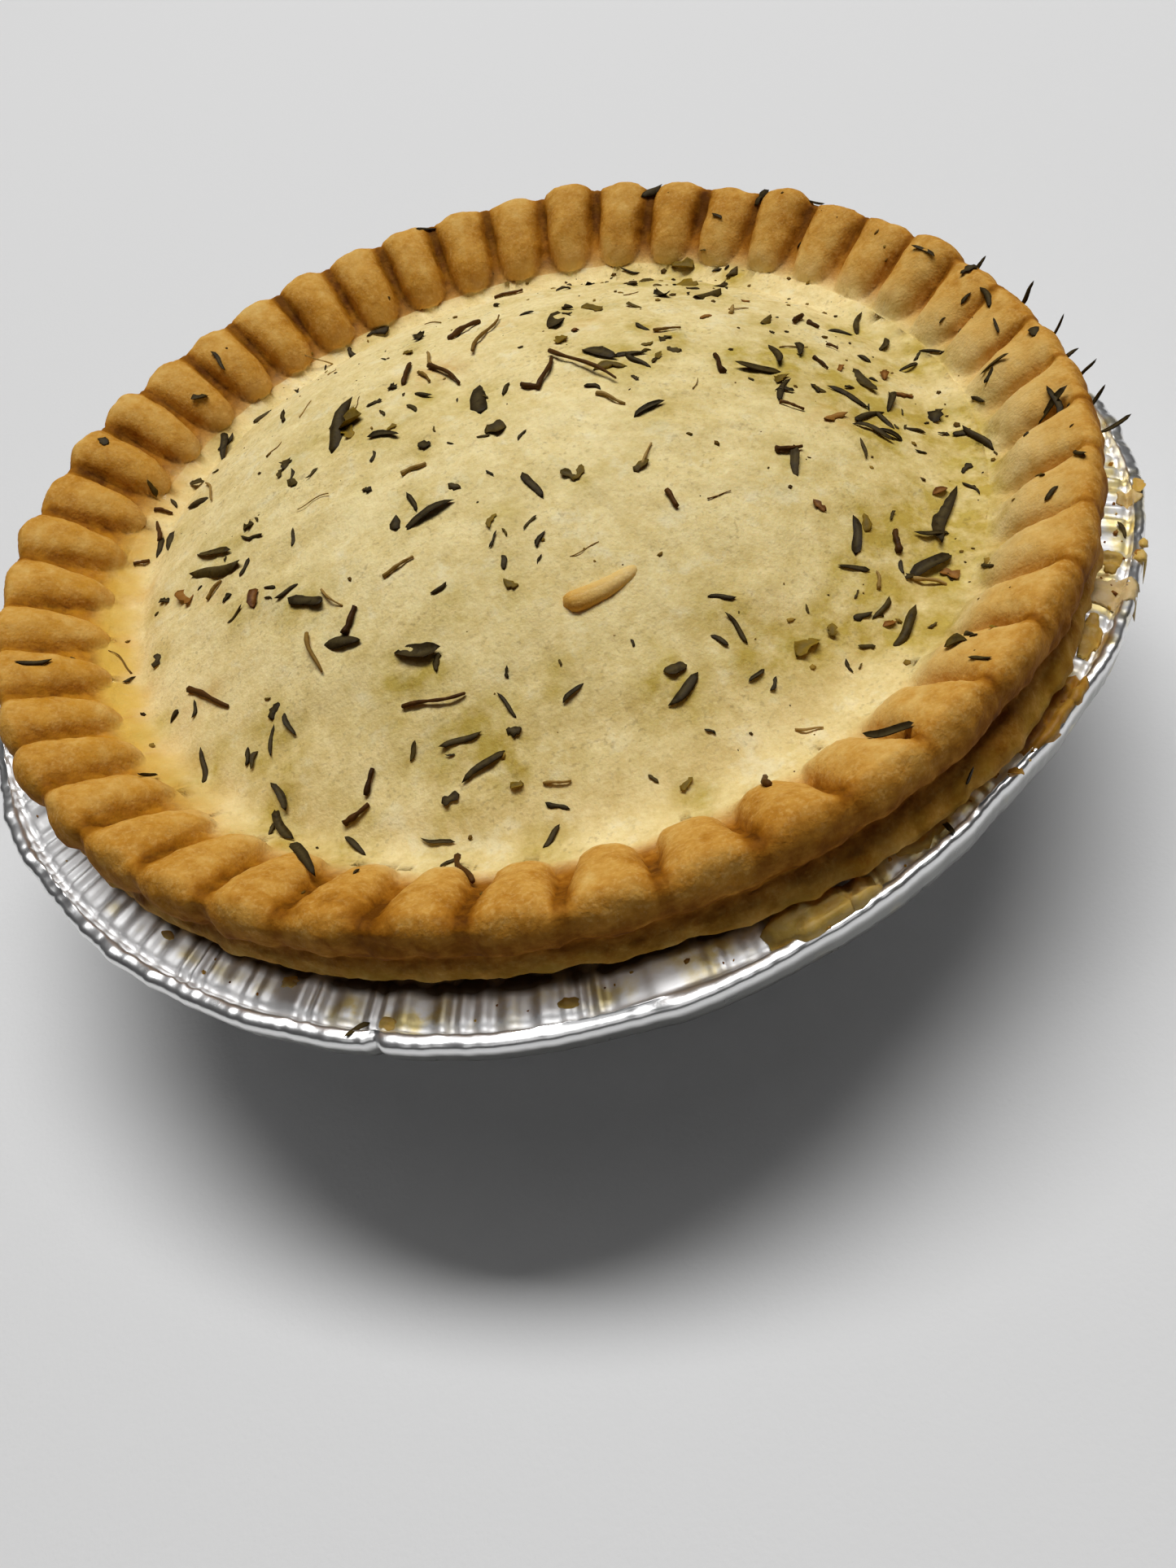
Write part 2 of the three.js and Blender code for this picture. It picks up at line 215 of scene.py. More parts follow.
class Finish:
    # A node material that is put together from Wires
    def __init__(self, name):
        self.material = bpy.data.materials.new(name)
        self.material.use_nodes = True
        self.tree = self.material.node_tree
        self.tree.nodes.clear()
        self.place = self.node("ShaderNodeTexCoord", {}, {}, "Object")

    def node(self, kind, settings, sockets, output=0):
        # Any node: its settings first, a ramp's stops among them, then values or links of its sockets
        added = self.tree.nodes.new(kind)
        for setting, value in settings.items():
            if setting == "stops":
                elements = added.color_ramp.elements
                while len(elements) < len(value):
                    elements.new(1)
                for element, (position, colour) in zip(elements, value):
                    element.position = position
                    element.color = colour
            else:
                setattr(added, setting, value)
        for socket, value in sockets.items():
            if isinstance(value, Wire):
                self.tree.links.new(value.socket, added.inputs[socket])
            else:
                added.inputs[socket].default_value = value
        return Wire(self, added.outputs[output]) if len(added.outputs) else None

    def sum(self, operation, first, second):
        return self.node("ShaderNodeMath", {"operation": operation}, {0: first, 1: second})

    def trait(self, name):
        # A value that the piece's points carry
        return self.node("ShaderNodeAttribute", {"attribute_name": name}, {}, "Fac")

    def noise(self, size, detail=2, roughness=0.5):
        # Noise with lumps of a given size in millimetres, on Object coordinates
        return self.node("ShaderNodeTexNoise", {}, {
            "Vector": self.place, "Scale": 1 / (size * mm), "Detail": detail, "Roughness": roughness})

    def mix(self, share, first, second, blend="MIX"):
        # Colour mix: first where the share is 0, second, or first times second, where it is 1
        return self.node("ShaderNodeMix", {"data_type": "RGBA", "blend_type": blend},
                         {0: share, 6: first, 7: second}, 2)

    def ramp(self, value, stops):
        return self.node("ShaderNodeValToRGB", {"stops": stops}, {0: value})

    def bump(self, height, depth, strength=1.0):
        # Relief of a given depth in millimetres
        return self.node("ShaderNodeBump", {}, {
            "Height": height, "Distance": depth * mm, "Strength": strength}, "Normal")

    def shade(self, sockets):
        # Principled shader with these sockets, wired to the output
        shader = self.node("ShaderNodeBsdfPrincipled", {}, sockets)
        self.node("ShaderNodeOutputMaterial", {}, {"Surface": shader})
        return self.material


def tone(red, green, blue):
    # Linear colour of a screen colour from 0 to 255
    share = np.array([red, green, blue]) / 255
    linear = np.where(share < 0.04045, share / 12.92, ((share + 0.055) / 1.055) ** 2.4)
    return (*linear.tolist(), 1.0)


def stops(*places):
    # Stops of a colour ramp from a place along it and a screen colour each
    return [(place, tone(*colour)) for place, colour in places]


# The camera stands where the photograph was taken from; yaw, pitch down and roll are in radians
photo = dict(height=1927, focalPixels=1445, place=(0, -106.719, 113.456),
             yaw=-0.03, pitch=0.88, roll=-0.32)

# Dried thyme as it lies on the pie: x, y, length and heading in degrees of each leaf or stalk
thyme = dict(
    slim=[
        (-18.2, 18.6, 11.5, 72), (-13, 11.5, 5, -38), (-35.3, 5.6, 6.5, -38), (-34.8, 2, 7.6, -22),
        (-42.3, 12, 4, 80), (-34, 28, 5, 80), (-26, 30, 3.2, 85), (-24, 36, 2.5, 80), (-25, 0.3, 2.7, 78),
        (-7.7, 17.7, 4, -58), (-9.2, 15, 2.8, -70), (1.6, 11.8, 2.8, 65), (16.7, 11.3, 5, -65),
        (16.3, 13.3, 4, -5), (19.3, 20.8, 3, -68), (12.2, 32.7, 3.2, -70), (4, 41.5, 2.2, -65),
        (22, 40.5, 3, -40), (40.5, 12.3, 3.6, -50), (42.8, 12.8, 4, 60), (31.8, 8.7, 6, 85),
        (34.8, 9.6, 4.4, 80), (28.8, 5.8, 5.6, -22), (30.2, 1.3, 5.2, 58), (15.4, 0.8, 4.3, 25),
        (41, 6, 2.3, -65), (44, 7.5, 3, 55), (39.2, 1.2, 5.6, 97), (44.8, 2.3, 2.9, 18),
        (36.5, -1.5, 6.2, -60), (37.3, -5, 4, 15), (36.8, -8, 5.6, -55), (38.2, -9, 3.5, -50),
        (38.7, -6.3, 3.6, -75), (34.8, -10.5, 3.4, 80), (40.5, -3.3, 4.3, 65), (41, -8.7, 2.6, -45),
        (46.5, -12, 5, -75), (27.3, -11.3, 5, 75), (38.7, -21.9, 9, 58), (36.5, -24.2, 4, -10),
        (42.7, -19, 2.5, -70), (29.5, -22.5, 5.6, 72), (27.8, -26.3, 3.3, -28), (28.5, -31.7, 3.2, 40),
        (29.6, -34.5, 5.6, 42), (14.9, -26.7, 2.8, -20), (15.2, -30.3, 4.3, -75), (13.3, -31.1, 2.2, -55),
        (15.3, -35.7, 2.1, 30), (-10, -6.2, 6.6, 13), (-11.2, -3.4, 3.5, -80), (-26.3, -7.7, 3, 15),
        (-32.5, -7, 2.8, 30), (-28.2, -5.8, 2, -40), (-40.3, -16.8, 2, 50), (-30, -25.2, 4, 80),
        (-28, -24.3, 3.3, -75), (-37.3, -25, 4.8, 88), (-42.4, -25.3, 3.8, 80), (-29.8, -31.8, 4.3, -72),
        (-29.8, -35.3, 4.5, -70), (-27.3, -41.5, 8, -66), (-11.9, -33.3, 4.2, 3), (-7, -31.5, 3.8, -70),
        (-10.4, -36.6, 5.2, 24), (-23.3, -40, 3.2, -58), (-16, -42.3, 3.5, -30), (-6.2, -45.5, 2.6, 40),
        (-16.4, -32.6, 2.3, 60), (-3.7, -16, 2.2, 85), (-10.5, -16.5, 2, 15), (-0.9, -32.5, 2.8, 30),
        (51.8, 15.5, 3.8, -68), (48.3, 4.7, 2.8, -40), (54.4, 4.5, 4.3, 80), (53.3, -0.3, 2, 85),
        (51, -5.3, 4, -35), (48.8, -6.7, 2.3, -75), (52, -16, 4.5, 0), (52, -16.2, 4.5, 80),
        (49.7, -25.5, 2.7, 80), (45.9, -28.2, 1.8, 15), (38.9, -31, 3.2, 87), (31.4, -45.6, 2.3, -50),
        (22.5, -49, 5, -35), (32.5, -41, 2.5, 80), (-53, -8.6, 3.6, 8), (-32.6, 41, 3.5, -65),
        (-2, 56.4, 3, 0), (45.4, 33.6, 2.6, -55),
    ],
    broad=[
        (-24.3, -10.3, 5.2, -42), (13, 15.2, 6.6, -60), (10.2, 29, 6.5, 80), (-1.6, 11.3, 6.6, 83),
        (1.2, -7.2, 5, -75), (-14, -22.7, 5, -20), (29, 27.7, 4.7, 15), (-29, 33, 3, 30),
        (13, 40.5, 3, 10), (8.7, -35.3, 4.5, 35), (34.6, -28, 5.5, 20), (-21.2, -17.7, 4.6, -25),
        (-41, 12.5, 3.5, 75), (-37.5, 18.2, 3.2, 10), (16.5, 40, 3, 20), (-34, 30, 3.4, 50),
    ],
    scrap=[
        (-0.8, 4, 2.6, -15), (-13.7, 20.8, 2.2, -10), (-37.5, 22, 2.2, 20), (-11.2, 23.8, 1.7, -60),
        (-42.3, -7.7, 2.2, 80), (8.6, -33, 2.4, 10), (-29.3, -22, 2.2, 65), (-12.4, -24.5, 2.2, 70),
        (43.4, -16, 1.8, 40), (44, -7, 2.3, 45), (45.3, -10.5, 2.2, 10), (23.8, 30.4, 2, 10),
        (21.3, 36.5, 2.5, -75), (31.5, 30, 2.5, -70), (33.8, 33, 2.8, 40), (15.5, 7.5, 1.5, -70),
        (21, 16.2, 2, 30), (21.2, 12.8, 2, -45), (-25.5, 16.2, 2.8, 80), (-24.7, 11.3, 2.3, -60),
        (-33.5, -3.6, 1.5, 30), (-6.5, -3.5, 1.6, -40), (-13.4, -5.5, 2.3, 80), (-14, -38.7, 1.8, 10),
        (-7, -34.2, 1.5, -20), (25.6, -35.3, 1.7, -15), (26.5, -32, 2, 10), (32.5, -28.6, 1.4, 20),
        (-35.7, 35.4, 2.3, 20), (-46.8, 27.5, 1.7, -40), (28, 48.5, 3.2, 3), (40, 38.8, 2.5, 3),
        (54.7, 9.8, 2.2, 0), (55, -5.2, 1.7, 80), (50, -17, 2, -50), (-12.3, 45.5, 3.4, 5),
        (-16.2, 41.5, 1.7, -50), (-7, 38.5, 2, 85), (-15.8, 2, 1.4, -40), (-30.5, 6.8, 1.6, 0),
        (-8.7, 5.8, 2, -45), (-41.5, 1.5, 1.4, -30),
    ],
    olive=[
        (5, -7.3, 2.4, -62), (6.1, -7.3, 2.4, 55), (12.3, -8.3, 2.3, 35), (9.7, 21.5, 2.5, 55),
        (18.8, 15.6, 1.6, 10), (19.2, 12, 2, 75), (33.4, 17.6, 2, 40), (15, 30.5, 3.8, -58),
        (27.7, 32.6, 3, -48), (28.5, 37.8, 3.5, -40), (23.3, 36.3, 1.8, -20), (-8.7, 34.2, 2, -60),
        (20.5, -34, 3, 25), (23.4, -32.7, 1.8, 70), (-3.7, -18.8, 2, -50), (-3.8, -10.5, 2.3, 65),
        (-17.3, 16, 3, -70), (-17.5, 18.7, 5, -20), (31.2, -41.7, 2.2, -35), (34.2, -42, 1.4, 60),
        (6.2, -44.3, 1.8, 40), (-8, -39.6, 1.3, 0), (13.5, 11.2, 4, -10), (30.7, 3.4, 2.2, 30),
        (31, -21, 2.6, 70), (-12, 12.5, 1.5, 20),
    ],
    bract=[
        (-38.8, 0.5, 3.2, -65), (33.8, -4.8, 3, 10), (42.3, -2.4, 2.3, -30), (41.8, 1.8, 2, 60),
        (-30.2, -6.2, 2.9, 80), (37.8, 4.5, 1.5, 70), (39.5, -18.6, 1.7, 10), (36, -29.5, 2.1, -60),
        (28.5, -33.5, 1.6, 20), (27.4, -18, 2.2, -70), (11.7, 23.7, 1.4, 70), (27.1, 21.3, 1.7, 10),
        (32.8, 24.1, 1.4, -30),
    ],
    stem=[
        (10.6, 12.6, 12.4, -62), (6.3, 12.8, 7, 67), (4.3, 10.8, 2.5, -45), (-9.2, 26, 6, 77),
        (-4.8, 21.2, 8.5, -71), (25.1, 8, 4.2, 88), (-20, -15.5, 3.5, 58), (-36.3, -16.6, 6.5, -47),
        (-13.5, -28.4, 6.5, -12), (-21, -34, 3, 65), (-22.7, -36.8, 3, 25), (27.3, -9.3, 3, 0),
        (12.3, -48, 5.5, 83), (-42.7, 15.5, 4.5, 97), (-44.8, 10.7, 2.5, -20), (-42.3, 19.4, 3, -45),
        (36, 6, 2.8, -75), (38.2, 14.8, 2, -70), (38.3, 8.8, 1.8, -60), (30, -2, 3, -40),
        (-1, 35.2, 5.6, 35), (33, -24, 3, 75), (13.9, -13.9, 2.6, -80), (-13.8, -47, 5, -75),
        (6, 43.7, 4, 0), (37, 16.8, 2.5, 45),
    ],
    straw=[
        (1.5, 31, 12, 67), (-6.1, 28.2, 4.6, 92), (-7.2, 23, 4, -75), (21.8, 18.7, 3.4, -10),
        (12, 4, 4, -48), (-10.3, 2, 3, 0), (-14, -11.7, 3.8, 12), (-24.2, -17.5, 6, -80),
        (-35, -1.2, 3, 50), (-36.1, 19.3, 5, -80), (30.6, 22.3, 2.4, 65), (17.8, -42.3, 2.5, -15),
        (-4.5, -40.5, 2.6, -15), (13.3, -6.7, 3.6, 60), (-21.5, -11.6, 4, -60), (29.4, -28.3, 2.4, 75),
        (33.6, -30, 3.5, -35),
    ],
)


# Pastry: the pie's crimped edge, lid and side as one closed skin

pastryForm = dict(
    ridges=46, firstRidge=87.5,          # how many, and the angle of one of them in degrees
    ridge=dict(inner=47.6, top=56.6, outer=58.8, rise=7.0, shoulder=3.4, bulge=1.32),
    groove=dict(inner=48.3, top=56.2, outer=57.8, rise=5.3, shoulder=1.9, bulge=1.02),
    ridgeUneven=0.45, liftDraw=dict(times=1664525, plus=1013904223, span=2 ** 32),
    # the share of the pitch that a ridge takes, its roundness, and the steps over which its inner end widens
    fingerShare=0.83, fingerRound=2.4, fingerSteep=0.55, tipSteps=0.8, leastTip=0.3, leastShare=0.02,
    # blunt ridge ends at the back, tapering ones on the left
    proudSide=dict(angle=105, spread=88), proudBulge=0.45, proudTip=0.42,
    taperSide=dict(angle=180, spread=70), taper=0.5, taperMore=0.35,
    # small lobes between ridges past the crest
    valleyLobe=0.5, valleyShare=0.42, valleyStep=1.3, valleySteps=0.5,
    # shallow grooves on the right, by steps, and grooves that end at the crest in front
    flatSide=dict(angle=-30, spread=95), flatWiden=0.09, flatRound=0.6, flatBulge=0.1, flatGroove=0.3,
    flatSteps=[0, 0.25, 0.5, 0.8, 1.1], flatShares=[0.3, 0.1, 0.0, 0.2, 0.65],
    smoothSide=dict(angle=-80, spread=95), outerSmooth=0.7, smoothSteps=(1, 1.5),
    # a ridge that isn't blunt leaves the groove's inner end over these steps, more of them on the flat side
    meltSteps=0.35, riseSteps=0.2, flatMelt=0.28, flatTip=0.3,
    sagSide=dict(angle=15, spread=65), sagDrop=1.4, sagInset=0.9,      # where the crest has sunk
    lidRadius=47.6, lidEdge=33.7, swellHeight=0.45, swellLength=9,
    domeRise=11.5, domeRadius=45, domeFlatness=2.5, domeFullness=1.15,
    easedSide=dict(angle=-125, spread=115), easedFoot=0.4,             # where the dome's foot is longer
    dent=dict(x=-2.7, y=8.3, depth=0.8, radius=5),
    trough=dict(radius=45.7, width=1.9, depth=0.7, more=0.6, filled=0.85),
    troughSide=dict(angle=178, spread=110),
    # radius, height and browning down the side, under the lip and inside the tray
    side=[(57.7, 35.7, 0.78), (58.3, 34.5, 0.5), (58.4, 33.3, 0.36), (57.6, 32.3, 0.5), (55, 32.1, 0.6),
          (54.6, 29, 0.4), (43.7, 2.8, 0.4), (40.9, 0.8, 0.4), (12, 0.8, 0.4)],
    sideRows=[5, 5, 3, 3, 2, 2, 3, 2, 2],        # rows that lead to each of those
    shownRows=16, easeRows=3,                    # rows that show above the tray; relief fades over a few
    # base pastry that stands out
    ledgeSide=dict(angle=-62, spread=42), ledgeReach=1.8, ledgeHeight=33.3, ledgeDepth=1.5,
    # relief along the normals: size, seed, depth and what is added on the side
    relief=[(6, 1, 0.07, 0.07), (1.9, 2, 0.035, 0.03), (0.95, 3, 0.016, 0)],
    columns=828, lidRows=46, slopeRows=28, shoulderRows=14,
)


def ridgeLifts():
    # The same draws as the solid's: state * times + plus, modulo a span
    form = pastryForm
    draw = form["liftDraw"]
    state = form["ridges"]
    lifts = []
    for ridge in range(form["ridges"]):
        state = (state * draw["times"] + draw["plus"]) % draw["span"]
        lifts.append(form["ridgeUneven"] * (2 * state / draw["span"] - 1))
    return np.array(lifts)


def ridgesAt(step, angle):
    # place counts ridges round the rim, across is 0 on a ridge's back and 1 in mid groove;
    # a finger is (1 - (across / width)^round)^steep, its width a half circle at the inner tip,
    # and the lobe in a groove is 1 - ((1 - across) / share)^2
    form = pastryForm
    place = (angle - math.radians(form["firstRidge"])) * form["ridges"] / (2 * np.pi)
    index = np.round(place)
    across = 2 * np.abs(place - index)
    flat = sideBump(angle, form["flatSide"])
    tipSteps = form["tipSteps"] - form["proudTip"] * sideBump(angle, form["proudSide"])
    tipSteps = np.maximum(tipSteps - form["flatTip"] * flat, form["leastTip"])
    tip = 1 - np.minimum(step / tipSteps, 1)
    taper = form["taper"] + form["taperMore"] * sideBump(angle, form["taperSide"])
    width = form["fingerShare"] + form["flatWiden"] * flat
    width = width * np.maximum(1 - tip ** 2, form["leastShare"]) ** taper
    roundness = form["fingerRound"] + form["flatRound"] * flat
    finger = (1 - np.minimum(across / width, 1) ** roundness) ** form["fingerSteep"]
    valley = np.maximum(1 - ((1 - across) / form["valleyShare"]) ** 2, 0)
    return finger, valley, index.astype(int) % form["ridges"]


def sectionAt(section, step, bulge):
    # Steps 0 to 1 climb the inner slope, a superellipse r = top - (top - inner) cos^(2 / bulge),
    # z = edge + rise sin^(2 / bulge); steps 1 to 2 turn down over the shoulder on a quarter ellipse
    climb = np.clip(step, 0, 1) * np.pi / 2
    turn = np.clip(step - 1, 0, 1) * np.pi / 2
    power = 2 / bulge
    radius = section["top"] - (section["top"] - section["inner"]) * np.cos(climb) ** power
    height = pastryForm["lidEdge"] + section["rise"] * np.sin(climb) ** power
    return (radius + (section["outer"] - section["top"]) * np.sin(turn),
            height - section["shoulder"] * (1 - np.cos(turn)))


def crimpGrid(step, angle):
    # Groove section plus the ridge's share of the way to the ridge section; flat and sunk on the right
    form = pastryForm
    finger, valley, index = ridgesAt(step, angle)
    proud, flat, smooth, sag = (sideBump(angle, form[side])
                                for side in ("proudSide", "flatSide", "smoothSide", "sagSide"))
    depth = 1 - np.interp(step, form["flatSteps"], form["flatShares"]) * flat
    depth = depth * (1 - grown(form["outerSmooth"], *form["smoothSteps"], step) * smooth)
    alongCrest = bell(form["valleySteps"], step - form["valleyStep"])
    share = 1 - depth * (1 - finger) * (1 - form["valleyLobe"] * valley * alongCrest)
    melt, rise = (proud + (1 - proud) * smoothStep(0, form[steps] + form["flatMelt"] * flat, step)
                  for steps in ("meltSteps", "riseSteps"))
    ridgeBulge = form["ridge"]["bulge"] + form["proudBulge"] * proud - form["flatBulge"] * flat
    grooveBulge = form["groove"]["bulge"] - form["flatGroove"] * flat
    highRadius, highHeight = sectionAt(form["ridge"], step, ridgeBulge)
    lowRadius, lowHeight = sectionAt(form["groove"], step, grooveBulge)
    climb = np.sin(np.clip(step, 0, 1) * np.pi / 2)
    radius = lowRadius + (highRadius - lowRadius) * share * melt - climb ** 2 * form["sagInset"] * sag
    lift = climb * (ridgeLifts()[index] * finger - form["sagDrop"] * sag)
    return polar(radius, angle, lowHeight + (highHeight - lowHeight) * share * rise + lift)


def lidHeight(x, y):
    # Dome rise * (1 - (r / R)^flatness)^fullness, low swells sin(x) cos(y), one bell-shaped dent,
    # and a bell-shaped trough along the edge that is deepest on its own side and filled on the flat side
    form = pastryForm
    dent, trough = form["dent"], form["trough"]
    radius = np.hypot(x, y)
    angle = np.arctan2(y, x)
    inside = np.maximum(1 - (radius / form["domeRadius"]) ** form["domeFlatness"], 0)
    fullness = form["domeFullness"] + form["easedFoot"] * sideBump(angle, form["easedSide"])
    swell = np.sin(x / form["swellLength"] + 1) * np.cos(y / form["swellLength"])
    dip = dent["depth"] * bell(dent["radius"], x - dent["x"], y - dent["y"])
    sunk = trough["depth"] * bell(trough["width"], radius - trough["radius"])
    sunk = sunk * (1 + trough["more"] * sideBump(angle, form["troughSide"]))
    sunk = sunk * (1 - trough["filled"] * sideBump(angle, form["flatSide"]))
    return (form["lidEdge"] + form["domeRise"] * inside ** fullness
            + form["swellHeight"] * inside * swell - dip - sunk)


# The places of the thyme were read on a lower dome than the lid's, along lines of sight from the camera;
# a leaf's length changes by a third at most
sight = dict(rise=7.6, fullness=1.6, nearest=0.7, farthest=1.06, steps=800, shortest=0.75, longest=1.33)


def alongSight(x, y):
    # The first of many points on the line of sight, eye + share * (place read - eye), that is under the lid
    form = pastryForm
    eye = np.array(photo["place"])
    inside = np.maximum(1 - (x * x + y * y) / form["lidRadius"] ** 2, 0)
    read = np.stack([x, y, form["lidEdge"] + sight["rise"] * inside ** sight["fullness"]], axis=-1)
    share = np.linspace(sight["nearest"], sight["farthest"], sight["steps"])
    line = eye + (read - eye)[:, None] * share[:, None]
    under = line[..., 2] < lidHeight(line[..., 0], line[..., 1])
    met = line[np.arange(len(line)), under.argmax(axis=1)]
    return np.where(np.hypot(x, y) < form["lidRadius"], met.T[:2], [x, y])


def carried(places):
    # Places, lengths and headings moved onto the lid by the lines of sight to the middle and both ends
    x, y, length, heading = np.array(places).T
    turn = np.radians(heading)
    first, last = (alongSight(x + side * length * np.cos(turn), y + side * length * np.sin(turn))
                   for side in (-0.5, 0.5))
    step = last - first
    stretch = np.clip(np.hypot(*step) / length, sight["shortest"], sight["longest"])
    return np.stack([*alongSight(x, y), length * stretch, np.degrees(np.arctan2(step[1], step[0]))], axis=-1)


laidThyme = {kind: carried(places) for kind, places in thyme.items()}
laidLeaves = np.concatenate([laidThyme[kind] for kind in ("slim", "broad", "olive", "scrap")])

# Oil in the lid: a film and halos round the leaves, both with what they grow by to the right and the front,
# from where to where, and how the film clears towards the edge
lidOil = dict(
    film=0.05, filmRight=(0.2, 5, 40), filmFront=(0.3, -14, -36), clear=(0.9, 40, 45),
    halo=0.5, haloRight=(1.3, 8, 34), haloFront=(0.7, -8, -34), haloDraw=(0.2, 1.6),
    reach=1.1, reachMore=0.4, shift=0.7, seed=5,
)


def thymeOil(x, y):
    # 1 - exp(-(film + sum of bells round the leaves)), each bell with its own draws of strength and shift
    form = lidOil
    draw = np.random.default_rng(form["seed"])
    leafX, leafY, length, heading = laidLeaves.T
    soaked = form["film"] + grown(*form["filmRight"], x) + grown(*form["filmFront"], y)
    soaked = soaked * (1 - grown(*form["clear"], np.hypot(x, y)))
    wet = form["halo"] + grown(*form["haloRight"], leafX) + grown(*form["haloFront"], leafY)
    wet *= draw.uniform(*form["haloDraw"], len(wet))
    reach = form["reach"] + form["reachMore"] * length
    shift = draw.normal(0, form["shift"], (len(wet), 2))
    for (haloX, haloY), strength, radius in zip(laidLeaves[:, :2] + shift, wet, reach):
        soaked = soaked + strength * bell(radius, x - haloX, y - haloY)
    return 1 - np.exp(-soaked)


# Baked juice on the lid: x, y, radius and strength of each stain, read as the thyme was
lidStains = [(-7, 25, 2.6, 0.9), (-3.5, 22, 1.7, 0.7), (13.5, 26, 1.8, 0.7), (33.5, -4.5, 2.2, 0.5),
             (-37, -16, 2.4, 0.6), (4, 33, 1.5, 0.4), (21, 19, 1.6, 0.4), (-35, -2, 2.0, 0.4)]


def lidStain(x, y):
    # Sum of bells at the stains
    readX, readY, radius, strength = np.array(lidStains).T
    stains = zip(*alongSight(readX, readY), radius, strength)
    return sum(strong * bell(wide, x - stainX, y - stainY) for stainX, stainY, wide, strong in stains)


def pastrySkin():
    # Rows from the middle of the lid over the crimp, down the side and under the pie, by angle
    form = pastryForm
    angle = turns(form["columns"])[None]
    lidRows = form["lidRows"]
    lid = polar(form["lidRadius"] * np.linspace(1, lidRows, lidRows)[:, None] / (lidRows + 1), angle, 0)
    lid[..., 2] = lidHeight(lid[..., 0], lid[..., 1])
    step = np.concatenate([np.linspace(0, 1, form["slopeRows"], endpoint=False),
                           np.linspace(1, 2, form["shoulderRows"])])[:, None]
    crimp = crimpGrid(step, angle)
    # each side point is reached in a few straight rows from the one before
    side, browning = [], []
    before, beforeBake = crimp[-1], np.full(form["columns"], pastryBake["shoulder"])
    for (radius, height, bake), rows in zip(form["side"], form["sideRows"]):
        ledge = form["ledgeReach"] * bell(form["ledgeDepth"], height - form["ledgeHeight"])
        after = polar(radius + ledge * sideBump(angle[0], form["ledgeSide"]), angle[0], height)
        share = np.linspace(0, 1, rows + 1)[1:, None]
        side.append(before + (after - before) * share[..., None])
        browning.append(beforeBake + (bake - beforeBake) * share)
        before, beforeBake = after, browning[-1][-1]
    grid = np.concatenate([lid, crimp] + side)
    # lumps, grain and pits, deepest on the side, none inside the tray
    row = np.arange(len(grid))[:, None]
    topRows = len(lid) + len(crimp)
    lastShown = topRows + form["shownRows"]
    onSide = smoothStep(topRows - form["shoulderRows"], topRows + form["easeRows"], row)
    showing = 1 - smoothStep(lastShown - form["easeRows"], lastShown + 1, row)
    relief = sum(softNoise(grid, size, seed) * (depth + more * onSide)
                 for size, seed, depth, more in form["relief"])
    normal = gridNormals(grid)
    outward = np.sign(normal[len(lid) // 2, :, 2].mean())
    grid = grid + outward * normal * (relief * showing)[..., None]
    poles = np.array([[[0, 0, lidHeight(0.0, 0.0)]], [[0, 0, form["side"][-1][1]]]])
    return *closedSkins(grid[None], *poles), pastryTraits(grid, lid, step, np.concatenate(browning), angle)


pastryBake = dict(
    # browning of a ridge's back from its inner end to the foot of its shoulder, on each side of the pie; the
    # pale side's low values also paint light on the shaded inner ends
    steps=[0, 0.3, 0.6, 0.9, 1.2, 1.6, 2],
    elsewhere=[0.16, 0.38, 0.5, 0.54, 0.55, 0.62, 0.76],
    warm=[0.28, 0.37, 0.43, 0.44, 0.45, 0.57, 0.78],
    proud=[0.52, 0.5, 0.43, 0.37, 0.36, 0.56, 0.8],
    # on the pale side the low browning is partly paler pastry, partly painted light on the ridges' shaded
    # inner ends
    pale=[0.05, 0.11, 0.22, 0.38, 0.52, 0.7, 0.82],
    warmSide=dict(angle=185, spread=80), paleSide=dict(angle=-22, spread=80), shoulder=0.9,
    # what a groove adds to that, browning with painted shade in the crease, changed by side, and how sharply
    # it ends
    grooveSteps=[0, 0.25, 0.6, 1.1, 1.5, 2], groove=[0.04, 0.26, 0.46, 0.4, 0.16, 0.0],
    groovePale=0.3, grooveWarm=0.1, grooveProud=0.35, sharp=1.6, sharpPale=0.9,
    blotches=[(9, 11, 0.035), (3, 12, 0.03)], blotchFrom=(0.15, 0.4),      # size, seed and depth of each
    # the lid browns towards its edge, most on the warm side; its cream fades out over the ridges' inner ends
    lid=0.02, edge=0.2, edgeRing=(42, 47.2), edgeNoise=[(5, 13, 0.7)], edgeLeast=0.25,
    fade=0.4, fadePale=0.25, fadeProud=(0.8, 0, 0.06),
    sideOil=(0.9, 0.78, 0.5), amberProud=0.5, amberFade=(0.6, 0.3, 1),      # soaked side, amber ridges
    # juice stands in the inner ends of the grooves on the left
    juiceSide=dict(angle=188, spread=48), juiceStep=0.2, juiceRing=(44.8, 47.4), juiceSteps=(0.12, 0.36),
)


